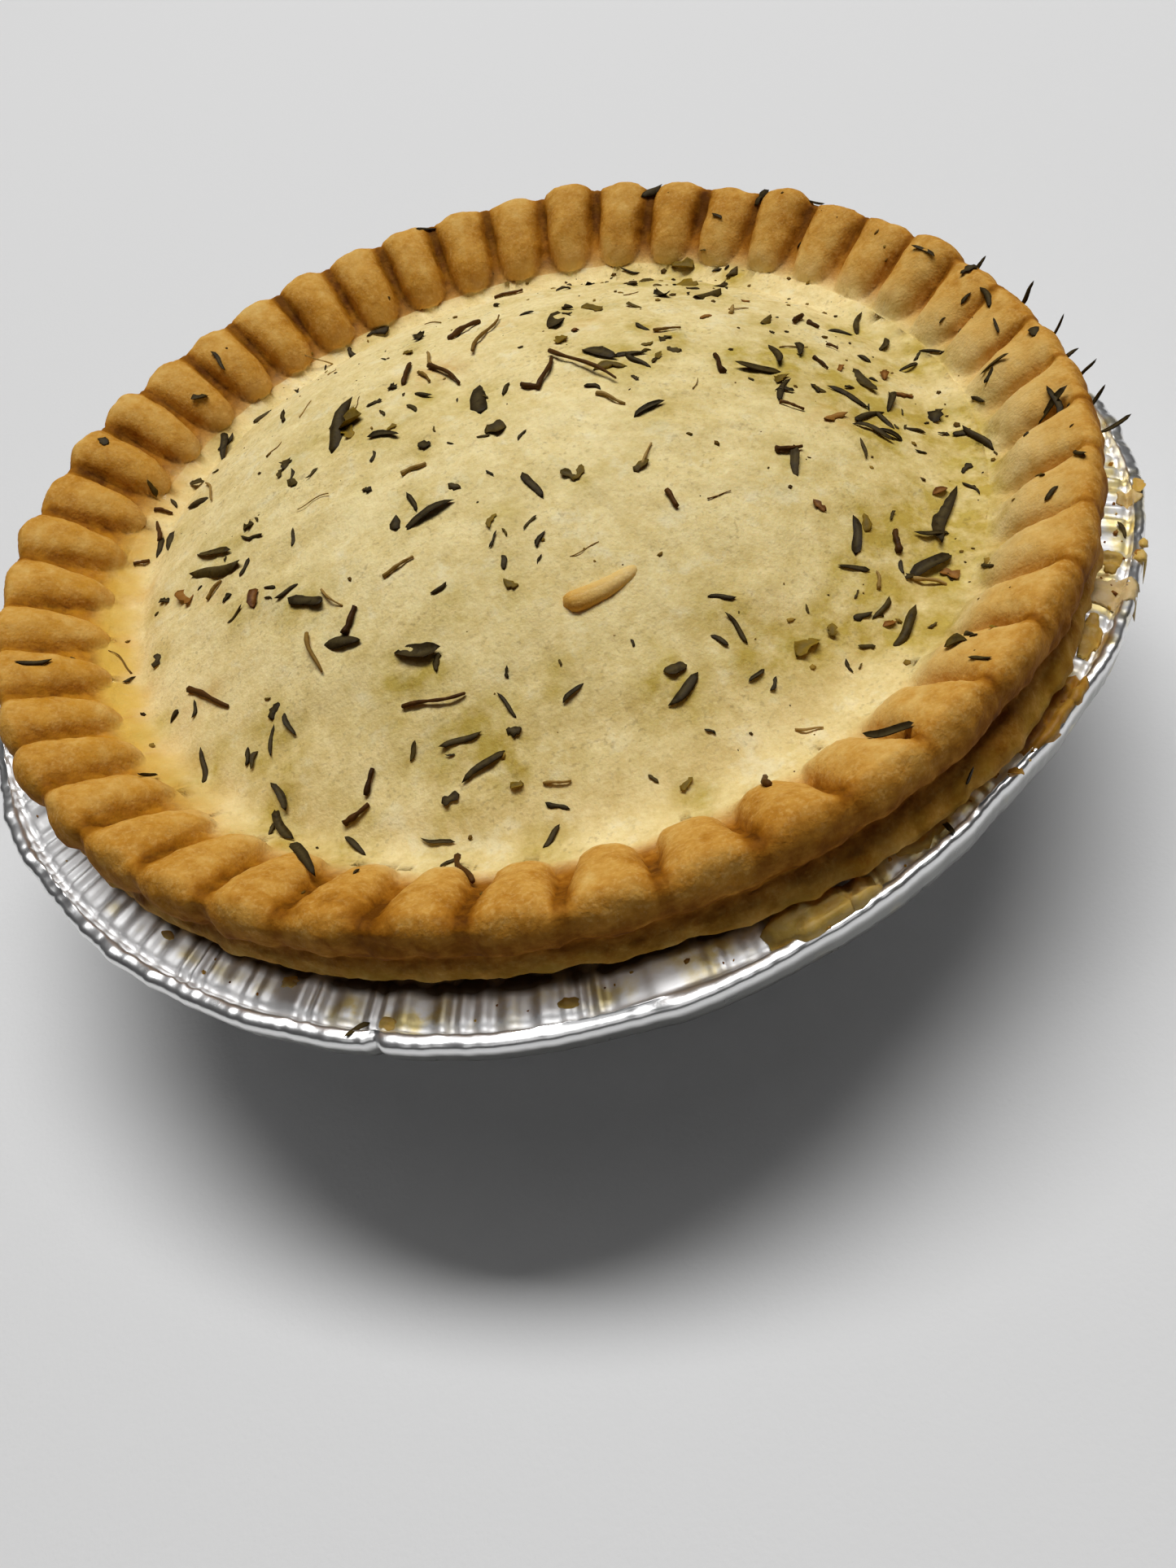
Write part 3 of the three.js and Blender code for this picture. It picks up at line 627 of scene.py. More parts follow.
def pastryTraits(grid, lid, step, browning, angle):
    # bake is how brown the pastry is, with painted shade in the grooves and painted light on the pale side,
    # lid where it is the pale lid, oil, stain and juice where it is soaked;
    # each is joined from its rows on the lid, on the crimp and on the side
    form = pastryBake
    finger = ridgesAt(step, angle)[0]
    x, y = lid[..., 0], lid[..., 1]
    radius = np.hypot(x, y)
    none = np.zeros_like(browning)
    pale, warm, left = (sideBump(angle, form[side]) for side in ("paleSide", "warmSide", "juiceSide"))
    proud = sideBump(angle, pastryForm["proudSide"])
    edge = smoothStep(*form["edgeRing"], radius + softNoises(lid, form["edgeNoise"]))
    edge = edge * (form["edgeLeast"] + (1 - form["edgeLeast"]) * warm)
    # each side takes its share of the browning from the others
    top = np.interp(step, form["steps"], form["elsewhere"]) + 0 * angle
    for name, side in (("warm", warm), ("proud", proud), ("pale", pale)):
        top = top + (np.interp(step, form["steps"], form[name]) - top) * side
    # grooves are darker: browning with painted shade in the creases
    deeper = np.interp(step, form["grooveSteps"], form["groove"]) * (
        1 - form["groovePale"] * pale - form["grooveWarm"] * warm + form["grooveProud"] * proud)
    crimpBakeAndShade = top + deeper * (1 - finger) ** (form["sharp"] + form["sharpPale"] * pale)
    bake = np.concatenate([form["lid"] + form["edge"] * edge, crimpBakeAndShade, browning])
    bake += softNoises(grid, form["blotches"]) * smoothStep(*form["blotchFrom"], bake)
    fade = 1 - smoothStep(0, form["fade"] + form["fadePale"] * pale, step)
    fade = fade * (1 - proud * grown(*form["fadeProud"], step))
    oil = thymeOil(x, y)
    amber = np.maximum(warm, form["amberProud"] * proud) * (1 - grown(*form["amberFade"], step))
    juice = left * (1 - ridgesAt(form["juiceStep"], angle)[0]) * smoothStep(*form["juiceRing"], radius)
    crimpJuice = left * (1 - finger) * (1 - smoothStep(*form["juiceSteps"], step))
    traits = dict(
        bake=bake,
        lid=np.concatenate([1 - edge ** 2, (1 - edge[-1] ** 2) * fade, none]),
        oil=np.concatenate([oil, oil[-1] * fade, grown(*form["sideOil"], browning)]),
        stain=np.concatenate([lidStain(x, y), amber, none]),
        juice=np.concatenate([juice, crimpJuice, none]),
    )
    return skinTraits(**{name: values[None] for name, values in traits.items()})


pastryLook = dict(
    bakeTones=stops((0.0, (244, 222, 166)), (0.12, (238, 206, 140)), (0.25, (229, 186, 105)),
                    (0.42, (213, 159, 72)), (0.6, (189, 129, 42)), (0.8, (148, 90, 12)), (1.0, (98, 53, 0))),
    fleck=tone(240, 199, 124), lidPale=tone(255, 235, 176), lidDeep=tone(235, 210, 143),
    flour=tone(255, 244, 204), speck=tone(140, 116, 78), oilTint=tone(206, 196, 132),
    stainTone=tone(204, 141, 30), juiceTone=tone(236, 196, 90),
    # shares of the mottling and of each of those tones
    blotch=0.13, grain=0.18, flecked=0.28, floured=0.5, specked=0.4, stained=0.7, juicy=0.75,
    roughness=0.7, grainDepth=0.19,
)


def pastryFinish():
    # Colour by browning, mottled by noise; the lid is cream with specks, oil and stains; juice is glossy
    look = pastryLook
    finish = Finish("pastryFinish")
    bake, lid, oil, stain, juice = (finish.trait(name) for name in ("bake", "lid", "oil", "stain", "juice"))
    blotch = finish.noise(3.2, 4, 0.6)
    grain = finish.noise(0.9, 4, 0.6)
    fine = finish.noise(0.3, 2)
    mottle = (blotch.between(0.3, 0.7) - 0.5) * look["blotch"]
    mottle = mottle + (grain.between(0.3, 0.7) - 0.5) * look["grain"]
    mottled = bake + mottle * bake.between(0.05, 0.4)
    crust = finish.ramp(mottled.clamped(), look["bakeTones"])
    golden = bake.between(0.15, 0.45) * (1 - bake.between(0.56, 0.72))
    flecks = finish.noise(0.42, 3, 0.6).between(0.5, 0.66) * golden
    crust = finish.mix(flecks * look["flecked"], crust, look["fleck"])
    felt = finish.noise(0.7, 5, 0.7) * 0.4 + finish.noise(2.2, 4, 0.6) * 0.35 + finish.noise(8, 3) * 0.25
    cream = finish.mix(felt.between(0.41, 0.59), look["lidDeep"], look["lidPale"])
    flour = finish.noise(3.5, 4, 0.65).between(0.56, 0.68)
    cream = finish.mix(flour * look["floured"], cream, look["flour"])
    specks = finish.noise(0.5, 1).between(0.58, 0.72) * finish.noise(6, 2).between(0.3, 0.7)
    cream = finish.mix(specks * look["specked"], cream, look["speck"])
    colour = finish.mix(lid, crust, cream)
    wet = (oil * (0.3 + 1.15 * finish.noise(2.6, 4, 0.6).between(0.32, 0.68))).clamped()
    colour = finish.mix(wet, colour, look["oilTint"], "MULTIPLY")
    stained = (stain * finish.noise(1.4, 3).between(0.35, 0.65)).clamped()
    colour = finish.mix(stained * look["stained"], colour, look["stainTone"])
    colour = finish.mix(juice * look["juicy"], colour, look["juiceTone"])
    return finish.shade({
        "Base Color": colour,
        "Roughness": look["roughness"] - 0.46 * juice - 0.1 * wet + (grain - 0.5) * 0.14,
        "Coat Weight": (juice * 0.9).clamped(),
        "Coat Roughness": 0.1,
        "Specular IOR Level": 0.07,
        "Subsurface Weight": 0.06,
        "Subsurface Radius": (1.0, 0.5, 0.2),
        "Subsurface Scale": 0.8 * mm,
        "Normal": finish.bump(grain * 0.6 + fine * 0.4, look["grainDepth"], 0.9),
    })


pastryMaterial = pastryFinish()
pastry = makePiece("pastry", pastrySkin(), pastryMaterial)
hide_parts("pie")


# Foil tray: base, wall, pleated flange and rolled rim

trayForm = dict(
    rim=63.5, flange=31.0, base=44.0, mouth=56.5, corner=2.0, foil=0.3,
    # height, half width, squareness and turn of the rolled bead, and how far its middle is under the flange
    bead=1.15, beadHalf=0.85, beadSquare=3, beadTurn=150, beadDip=0.75,
    skirt=2.6, skirtTilt=0.4,
    # the flange ends this far inside the bead's middle and falls this much
    flangeEnd=1.15, slope=0.3,
    # where the flange begins, from the mouth, the wall, from the base, and the bead, from its inner edge
    flangeFrom=(-0.5, 1.5), wallFrom=(-2, 0), offBead=(-0.3, 0.5), onBead=(0.1, 0.6),
    # where foil counts as rolled, by radius from the rim's edge, and as skirt, by height from the flange
    rolledFrom=(-2, -1.4), hungFrom=(-0.2, -1.1),
    flutes=36, fluteDepth=0.3, ripple=0.15,
    pleats=178, pleatHeight=0.2, pleatSharp=0.65, pleatWander=1.8, wanderSize=9,
    # a pleat's depth: its mean, what noise of a size adds to it, and its limits
    pleatDepth=dict(mean=0.85, more=0.35, size=5, least=0.45, most=1.5),
    # share of the pleats that is left on the wall and on the bead, and that is lost where pressed
    wallPleat=0.1, beadPleat=0.12, pressedPleat=0.85,
    # small and slow waves of the rim: size, seed and height; share of the small ones that goes up and down
    crinkles=[(4.5, 23, 0.06), (1.6, 24, 0.024)], wobbles=[(17, 25, 0.18)], crinkleUp=0.8,
    channel=0.4, channelWidth=0.3, channelInside=0.25,     # the groove inside the bead
    dent=dict(angle=-60, spread=42), dentDepth=2.2, dentDrop=0.9,
    dropSide=dict(angle=5, spread=38), rimDrop=2.8,        # rim bent down
    smoothSpot=dict(angle=-89.5, spread=11), smoothLift=0.5,     # pleats pressed flat at the front
    nickAngle=-113, nickWidth=0.6, nickDepth=0.55, nickUp=0.5,
    # where the flange beside the pastry is darkened, most at the front: burnt residue with painted shadow of
    # the pastry
    burnShadeSide=dict(angle=-100, spread=75), burnShadeRadius=57.6, burnShadeWidth=1.2, burnShadeLeast=0.3,
    burnShadeMean=0.95, burnShadeNoise=[(3, 32, 0.2)],
    columns=1424, baseRows=1, cornerRows=3, wallRows=3, flangeRows=9, beadRows=10, skirtRows=3,
)


def rowsBetween(start, end, rows):
    # Points evenly along a straight line, without its ends
    return start + (end - start) * np.linspace(0, 1, rows + 2)[1:-1, None]


def trayLine():
    # Radius and height along the tray's upper face: base, corner, wall, corner, flange, bead and skirt
    form = trayForm
    slope = math.atan2(form["mouth"] - form["base"], form["flange"])
    turned = math.pi / 2 - slope
    bend = form["corner"] * math.tan(turned / 2)
    turn = np.linspace(0, turned, form["cornerRows"])
    low = np.stack([form["base"] - bend + form["corner"] * np.sin(turn),
                    form["foil"] + form["corner"] * (1 - np.cos(turn))], axis=-1)
    high = np.stack([form["mouth"] + bend - form["corner"] * np.sin(turn[::-1]),
                     form["flange"] - form["corner"] * (1 - np.cos(turn[::-1]))], axis=-1)
    beadMiddle = np.array([form["rim"] - form["beadHalf"], form["flange"] - form["beadDip"]])
    roll = np.radians(np.linspace(form["beadTurn"], 0, form["beadRows"]))
    corner = np.stack([np.cos(roll), np.sin(roll)], axis=-1)
    size = np.array([form["beadHalf"], form["bead"]])
    bead = beadMiddle + size * np.sign(corner) * np.abs(corner) ** (2 / form["beadSquare"])
    flangeEnd = np.array([beadMiddle[0] - form["flangeEnd"], form["flange"] - form["slope"]])
    skirtEnd = np.array([form["rim"] - form["skirtTilt"], form["flange"] - form["skirt"]])
    return np.concatenate([
        rowsBetween(np.array([0, form["foil"]]), low[0], form["baseRows"]), low,
        rowsBetween(low[-1], high[0], form["wallRows"]), high,
        rowsBetween(high[-1], flangeEnd, form["flangeRows"]), flangeEnd[None], bead,
        rowsBetween(bead[-1], skirtEnd, form["skirtRows"]), skirtEnd[None]])


def pleatWave(ring, angle):
    # sin(pleats * angle + wander) sharpened to creases, its depth wandering round the rim
    form = trayForm
    depth = form["pleatDepth"]
    wave = np.sin(form["pleats"] * angle + form["pleatWander"] * softNoise(ring, form["wanderSize"], 21))
    uneven = depth["mean"] + depth["more"] * softNoise(ring, depth["size"], 22)
    return np.sign(wave) * np.abs(wave) ** form["pleatSharp"] * np.clip(uneven, depth["least"], depth["most"])


def foilShift(radius, height, angle):
    # How pleats, flutes, crinkles, the dent, the nick and the bent side move the foil in radius and height
    form = trayForm
    ring = polar(form["rim"], angle, 0.0)
    wave = pleatWave(ring, angle)
    flute = np.cos(form["flutes"] * angle)
    pressed, dent, drop = (sideBump(angle, form[side]) for side in ("smoothSpot", "dent", "dropSide"))
    # where the foil is flange, wall or bead, how far up the wall, down the skirt and out on the flange
    beadStart = form["rim"] - 2 * form["beadHalf"]
    onFlange = smoothStep(*form["flangeFrom"], radius - form["mouth"])
    offBead = 1 - smoothStep(*form["offBead"], radius - beadStart)
    onBead = smoothStep(*form["onBead"], radius - beadStart)
    wall = (1 - onFlange) * smoothStep(*form["wallFrom"], radius - form["base"])
    climb = np.clip((height - form["corner"]) / form["flange"], 0, 1)
    under = form["flange"] - form["beadDip"] - height
    lower = onBead * np.clip(under / (form["skirt"] - form["beadDip"]), 0, 1)
    outward = np.clip((radius - form["mouth"]) / (form["rim"] - form["mouth"]), 0, 1)
    fromNick = (angle - math.radians(form["nickAngle"])) * form["rim"]
    nick = form["nickDepth"] * bell(form["nickWidth"], fromNick)
    crinkle = softNoises(ring, form["crinkles"])
    wobble = softNoises(ring, form["wobbles"])
    channel = form["channel"] * bell(form["channelWidth"], radius - beadStart + form["channelInside"])
    # the dent pushes the rim in and its skirt down
    inOut = wall * climb * (form["fluteDepth"] * flute + form["wallPleat"] * wave)
    inOut = inOut + onBead * (crinkle + wobble - nick) - form["dentDepth"] * outward * dent
    pleat = form["pleatHeight"] * wave * (1 - form["pressedPleat"] * pressed)
    pleat = pleat * (form["beadPleat"] + (1 - form["beadPleat"]) * offBead)
    upDown = onFlange * (pleat + offBead * (form["ripple"] * flute + form["smoothLift"] * pressed))
    upDown = upDown - channel * (1 - pressed) - form["dentDrop"] * lower * dent
    upDown = upDown - form["rimDrop"] * outward * drop
    return inOut, upDown + onBead * (form["crinkleUp"] * crinkle + wobble - form["nickUp"] * nick)


def traySkin():
    # The upper line and the same line one foil thickness below, turned about Z and pleated;
    # stain is the baked-on film; the other traits mark the rolled rim, the skirt, where shade is painted, and
    # the ring beside the pastry, where burnt residue and painted shadow darken the foil
    form = trayForm
    line = trayLine()
    ahead = np.gradient(line, axis=0)
    ahead /= np.linalg.norm(ahead, axis=-1, keepdims=True)
    under = line + form["foil"] * np.stack([ahead[:, 1], -ahead[:, 0]], axis=-1)
    section = np.concatenate([line, under[::-1]])
    along = np.concatenate([line, line[::-1]])
    angle = np.linspace(-np.pi, np.pi, form["columns"], endpoint=False)[None]
    inOut, upDown = foilShift(along[:, :1], along[:, 1:], angle)
    grid = polar(section[:, :1] + inOut, angle, section[:, 1:] + upDown)
    poles = np.array([[[0, 0, form["foil"]]], [[0, 0, 0.0]]])
    radius, height, angle = np.broadcast_arrays(along[:, :1], along[:, 1:], angle)
    stain = flangeStain(radius, angle)
    stain[len(line):] = 0
    rolled = smoothStep(*form["rolledFrom"], radius - form["rim"])
    hung = rolled * smoothStep(*form["hungFrom"], height - form["flange"])
    # painted shadow of the pastry on the flange, with burnt residue, strongest at the front
    burnt = form["burnShadeLeast"] + (1 - form["burnShadeLeast"]) * sideBump(angle, form["burnShadeSide"])
    burnt = burnt * bell(form["burnShadeWidth"], radius - form["burnShadeRadius"])
    burnt = burnt * (form["burnShadeMean"] + softNoises(grid, form["burnShadeNoise"]))
    return *closedSkins(grid[None], *poles), skinTraits(
        stain=stain[None], rolled=rolled[None], hung=hung[None], burnt=burnt[None])


# Baked-on egg wash and juice on the flange: angle, spread in degrees, radius, width and strength of each
flangeStains = [
    (-40, 24, 59.5, 2.6, 0.6), (-62, 14, 59, 2.6, 0.6), (-78, 9, 59.5, 2.4, 0.7), (-14, 24, 60, 3, 0.5),
    (-98, 16, 59.6, 1.8, 0.36), (-112, 4, 60.8, 0.8, 0.6), (-130, 14, 59.8, 0.9, 0.26),
    (24, 24, 59.5, 2, 0.26),
]
stainPatches = dict(mean=0.75, noise=[(4, 31, 0.45)])


def flangeStain(radius, angle):
    # Sum of bells in angle and radius, broken up by noise
    total = sum(strength * sideBump(angle, dict(angle=middle, spread=2 * spread)) * bell(width, radius - ring)
                for middle, spread, ring, width, strength in flangeStains)
    patchy = stainPatches["mean"] + softNoises(polar(radius, angle, 0), stainPatches["noise"])
    return np.clip(total * patchy, 0, 1)


foilLook = dict(
    # the skirt tone is painted shade: the skirt is darkened as if it reflected the shadowed floor
    metal=tone(243, 243, 243), skirt=tone(150, 150, 147), film=tone(226, 208, 146), crust=tone(164, 120, 44),
    # the dark ring beside the pastry: burnt residue with painted shadow
    burnt=tone(70, 50, 18),
    metallic=0.58, rolledMetal=0.35,     # the rolled rim is brighter and glossier than the flange
    roughness=0.48, roughSpread=0.16, rolledGloss=0.18,
)


def foilFinish():
    # Bright metal with uneven gloss, painted darker on the skirt as shade; baked-on film turns it yellow,
    # then brown and dull; the ring beside the pastry is painted dark as burnt residue and shadow
    look = foilLook
    finish = Finish("foilFinish")
    rolled = finish.trait("rolled")
    stain = (finish.trait("stain") * finish.noise(1.6, 3).between(0.3, 0.7)).clamped()
    streak = finish.noise(2.4, 4, 0.6)
    burnt = finish.trait("burnt").between(0.25, 0.75)
    # painted shade on the skirt
    colour = finish.mix(finish.trait("hung"), look["metal"], look["skirt"])
    colour = finish.mix(stain.between(0.05, 0.4), colour, look["film"])
    colour = finish.mix(stain.between(0.65, 1.0), colour, look["crust"])
    # painted shadow, with burnt residue, in the ring beside the pastry
    colour = finish.mix(burnt, colour, look["burnt"])
    bare = look["metallic"] + look["rolledMetal"] * rolled
    gloss = look["roughSpread"] * (streak - 0.5) - look["rolledGloss"] * rolled
    return finish.shade({
        "Base Color": colour,
        "Metallic": (bare - 0.4 * stain.between(0.4, 1.0) - 0.5 * burnt).clamped(),
        "Roughness": look["roughness"] + gloss,
        "Normal": finish.bump(finish.noise(1.1, 3), 0.06, 0.6),
    })


foilTray = makePiece("foilTray", traySkin(), foilFinish())
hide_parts("foil_tray")


# Frames for things that lie on a surface or stand out from it

layReach = 0.36      # a thing touches the surface at this share of its length either side of its middle


def surfaceOf(piece):
    # The piece's faces, to be met by rays
    return BVHTree.FromObject(piece, bpy.context.evaluated_depsgraph_get())


def heightUnder(surface, x, y):
    # Height in millimetres of the surface under a point, found by a ray straight down
    return surface.ray_cast(Vector((x * mm, y * mm, 1.0)), Vector((0, 0, -1)))[0].z / mm


def layOn(surface, places):
    # Middle, along, across and up of each place: along joins the surface near both ends of the thing
    frames = []
    for x, y, length, heading in places:
        turn = math.radians(heading)
        away = np.array([math.cos(turn), math.sin(turn)]) * layReach * length
        spots = ((x, y) - away, (x, y) + away)
        first, last = (np.array([*spot, heightUnder(surface, *spot)]) for spot in spots)
        middle = (first + last) / 2
        middle[2] = max(middle[2], heightUnder(surface, x, y))
        along = (last - first) / np.linalg.norm(last - first)
        across = np.array([-along[1], along[0], 0]) / np.hypot(along[0], along[1])
        frames.append([middle, along, across, np.cross(along, across)])
    return np.array(frames).transpose(1, 0, 2)


def radiusAt(surface, angle, height):
    # Radius in millimetres of the surface at an angle and height, found by a ray towards the axis
    outward = Vector((math.cos(angle), math.sin(angle), 0))
    spot = surface.ray_cast(outward * 0.1 + Vector((0, 0, height * mm)), -outward)[0]
    return math.hypot(spot.x, spot.y) / mm


def standAt(surface, places, sunk=0.3):
    # Frames of things that stand out at an angle and height, their foot sunk; rise is their angle from level
    angle, height, length, rise = np.array(places).T
    angle, rise = np.radians(angle), np.radians(rise)
    radius = np.array([radiusAt(surface, *foot) for foot in zip(angle, height)]) - sunk
    along = polar(np.cos(rise), angle, np.sin(rise))
    across = polar(1, angle + np.pi / 2, 0)
    middle = polar(radius, angle, height) + along * length[:, None] / 2
    return np.stack([middle, along, across, np.cross(along, across)])


def onRim(things):
    # Places as x, y, length and heading from places along the dented rim
    angle, inside, length, turn = np.array(things).T
    radius = trayForm["rim"] - trayForm["dentDepth"] * sideBump(np.radians(angle), trayForm["dent"]) - inside
    x, y, level = polar(radius, np.radians(angle), 0).T
    return np.column_stack([x, y, length, angle + 90 + turn])


def inFrames(frames, along, across, up):
    # Local coordinates of many things put into their frames
    middle, alongAxis, acrossAxis, upAxis = (axis[:, None, None, :] for axis in frames)
    return middle + along[..., None] * alongAxis + across[..., None] * acrossAxis + up[..., None] * upAxis


# Leaves, stalks, specks and crumbs

leafShape = dict(
    rows=6, columns=12, thickness=0.09, furrow=0.06, ribPower=6, lift=0.05,
    # limits of each leaf's own draws
    wide=(0.8, 1.45), blunt=(1.8, 3.4), skew=(-0.7, 0.7), thick=(0.8, 1.6), twist=(-0.9, 0.9),
    arch=(-0.06, 0.08), tilt=(-0.12, 0.12), lifted=(1, 2),
)
leafKinds = dict(
    slim=dict(width=0.145, least=0.42, ragged=0.1, curl=(-0.8, 1.0), bend=0.1, sway=0.04, tint=(0.0, 0.5)),
    broad=dict(width=0.24, least=0.75, ragged=0.12, curl=(-0.5, 0.8), bend=0.06, sway=0.03, tint=(0.1, 0.55)),
    chaff=dict(width=0.2, least=0.2, ragged=0.3, curl=(-0.8, 0.8), bend=0.12, sway=0.06, tint=(0.0, 0.7)),
    scrap=dict(width=0.46, least=0.6, ragged=0.5, curl=(-0.6, 0.6), bend=0.15, sway=0.05, tint=(0.0, 0.55)),
    olive=dict(width=0.38, least=0.55, ragged=0.4, curl=(-0.7, 0.6), bend=0.2, sway=0.05, tint=(0.6, 1.0)),
    bract=dict(width=0.34, least=0.55, ragged=0.35, curl=(-0.7, 0.5), bend=0.12, sway=0.05, tint=(0.0, 1.0)),
)


def leafSkins(kind, frames, lengths, seed):
    # A leaf is a flattened tube: half width * (1 - |2u - 1|^blunt)^0.5 along it, edges rolled down or up,
    # a furrow along its back, bent to a C or an S, arched and twisted, each leaf by its own draws;
    # a further trait marks the furrow along the top, where a highlight is painted
    shape, form = leafShape, leafKinds[kind]
    draw = np.random.default_rng(seed)
    count, rows = len(lengths), shape["rows"]
    each = lambda low, high: draw.uniform(low, high, (count, 1, 1))
    length = np.asarray(lengths)[:, None, None]
    u = np.linspace(0, 1, rows + 2)[1:-1][None, :, None]
    v = turns(shape["columns"])[None, None]
    width = np.maximum(form["width"] * length, form["least"]) * each(*shape["wide"])
    half = width / 2 * (1 - np.abs(2 * u - 1) ** each(*shape["blunt"])) ** 0.5
    half = half * (1 + each(*shape["skew"]) * (u - 0.5))
    half = half * (1 + form["ragged"] * draw.uniform(-1, 1, (count, rows, 1)))
    curl = each(*form["curl"])
    across = half * np.cos(v)
    body = np.sin(np.pi * u) ** 0.4
    back = np.maximum(np.sin(v), 0) ** shape["ribPower"]
    up = shape["thickness"] * each(*shape["thick"]) * body * np.sin(v) - curl * half * np.cos(v) ** 2
    up = up - shape["furrow"] * body * back
    twist = each(*shape["twist"]) * (u - 0.5)
    across, up = across * np.cos(twist) - up * np.sin(twist), across * np.sin(twist) + up * np.cos(twist)
    bow = (2 * u - 1) ** 2
    bend = each(-1, 1) * form["bend"] * length
    sway = each(-1, 1) * form["sway"] * length * np.sin(2 * np.pi * u)
    arch = each(*shape["arch"]) * length
    tilt = each(*shape["tilt"])
    lift = shape["lift"] * each(*shape["lifted"]) + 0.4 * np.maximum(curl, 0) * width / 2
    lift = lift + 0.25 * np.abs(tilt) * length
    grid = inFrames(frames, (u - 0.5) * length + 0 * v, across + bend * (bow - 0.4) + sway,
                    up + arch * (0.5 - bow) + tilt * (u - 0.5) * length + lift)
    ends = [inFrames(frames, side * length, bend * 0.6, lift - 0.5 * arch + tilt * side * length)[:, 0, 0]
            for side in (-0.5, 0.5)]
    tint = draw.uniform(*form["tint"], (count, 1, 1)) + 0 * (u + v)
    return *closedSkins(grid, *ends), skinTraits(tint=tint, rib=back * np.sin(np.pi * u) + 0 * tint)


def leavesOn(surface, kind, places, seed):
    # Leaves laid on a surface at places given as x, y, length and heading
    return leafSkins(kind, layOn(surface, places), places[:, 2], seed)


stalkShape = dict(rows=8, columns=6, thick=(0.7, 1.35), thinner=0.4, knobbly=0.25, sway=(-0.6, 0.6), rest=0.8)
stalkKinds = dict(           # half thickness, waviness, how far the middle stands up, and the range of tints
    stem=dict(thickness=0.28, wave=0.08, arch=0.05, tint=(0.0, 0.45)),
    straw=dict(thickness=0.2, wave=0.08, arch=0.05, tint=(0.55, 1.0)),
    hair=dict(thickness=0.08, wave=0.08, arch=0.03, tint=(0.5, 1.0)),
)


def stalksOn(surface, kind, places, seed):
    # A stalk is a thin tube whose middle line waves: a sin(pi u) + b sin(2 pi u), knobbly, thinner at one end
    shape, form = stalkShape, stalkKinds[kind]
    frames = layOn(surface, places)
    draw = np.random.default_rng(seed)
    count, rows = len(places), shape["rows"]
    each = lambda low, high: draw.uniform(low, high, (count, 1, 1))
    length = places[:, 2][:, None, None]
    u = np.linspace(0.02, 0.98, rows)[None, :, None]
    v = turns(shape["columns"])[None, None]
    radius = form["thickness"] * each(*shape["thick"]) * (1 - shape["thinner"] * u)
    radius = radius * (1 + shape["knobbly"] * draw.uniform(-1, 1, (count, rows, 1)))
    wave = each(-1, 1) * np.sin(np.pi * u) + each(*shape["sway"]) * np.sin(2 * np.pi * u)
    across = form["wave"] * wave * length + radius * np.cos(v)
    rest = shape["rest"] * form["thickness"]
    up = each(0, 1) * form["arch"] * length * np.sin(np.pi * u) + rest + radius * np.sin(v)
    grid = inFrames(frames, (u - 0.5) * length + 0 * v, across, up)
    ends = [inFrames(frames, side * length, 0 * length, 0 * length + rest)[:, 0, 0] for side in (-0.5, 0.5)]
    tint = draw.uniform(*form["tint"], (count, 1, 1)) + 0 * (u + v)
    return *closedSkins(grid, *ends), skinTraits(tint=tint, rib=0 * tint)


lumpShape = dict(columns=5, reach=(0.55, 1.15), level=(0.6, 1.4), slim=(0.45, 1.0))


def lumpsOn(surface, places, flatness, tints, seed):
    # A lump is two uneven rings of a few points between two poles, flatter than it is wide
    shape = lumpShape
    frames = layOn(surface, places)
    draw = np.random.default_rng(seed)
    count, columns = len(places), shape["columns"]
    size = places[:, 2][:, None, None]
    v = turns(columns)[None, None]
    rest = size * flatness / 4
    reach = size / 2 * draw.uniform(*shape["reach"], (count, 2, columns))
    level = np.array([1.0, -1.0])[None, :, None] * rest * draw.uniform(*shape["level"], (count, 2, columns))
    slim = draw.uniform(*shape["slim"], (count, 1, 1))
    grid = inFrames(frames, reach * np.cos(v), slim * reach * np.sin(v), level + rest)
    ends = [inFrames(frames, 0 * size, 0 * size, rest + side * size * flatness / 2)[:, 0, 0]
            for side in (1, -1)]
    tint = draw.uniform(*tints, (count, 1, 1)) + 0 * level
    return *closedSkins(grid, *ends), skinTraits(tint=tint, rib=0 * tint)


def driedFinish(name, look):
    # Dried leaf: one tint a leaf, mottled, with a painted highlight along the middle, with a fine crinkle
    finish = Finish(name)
    mottle = finish.noise(0.7, 3)
    colour = finish.ramp((finish.trait("tint") + (mottle - 0.5) * 0.5).clamped(), look["tones"])
    # painted highlight along the top of each leaf's middle
    colour = finish.mix(finish.trait("rib") * mottle.between(0.25, 0.5) * 0.55, colour, look["rib"])
    return finish.shade({
        "Base Color": colour,
        "Roughness": look["roughness"] + 0.25 * (mottle - 0.5),
        "Specular IOR Level": 0.08,
        "Normal": finish.bump(finish.noise(0.45, 3), 0.12, 0.8),
    })


# Needles that stand out from the crimp: angle, height, length and rise from level;
# those on the flange: angle, distance inside the rim, length and turn from the rim's own heading
crimpNeedles = [
    (1.9, 37.8, 2.8, 62), (-5.2, 37.6, 3, 70), (-12.5, 37.6, 2.5, 55), (-17.2, 37.4, 2.9, 64),
    (-20.7, 37, 3.4, 34), (-62.4, 33.2, 3.4, 78), (10.5, 38, 1.8, 50), (-9, 37.8, 1.6, 35),
]
flangeNeedles = [(-27, 2.5, 2.6, 15), (-65, 1.5, 2.6, 70), (-114.6, 1.5, 2.6, 55)]

hairForm = dict(count=14, reach=pastryForm["lidRadius"], shortest=2, longest=5, seed=63)
chaffForm = dict(count=110, away=3.2, shortest=0.7, longest=2.4, reach=54, seed=75)
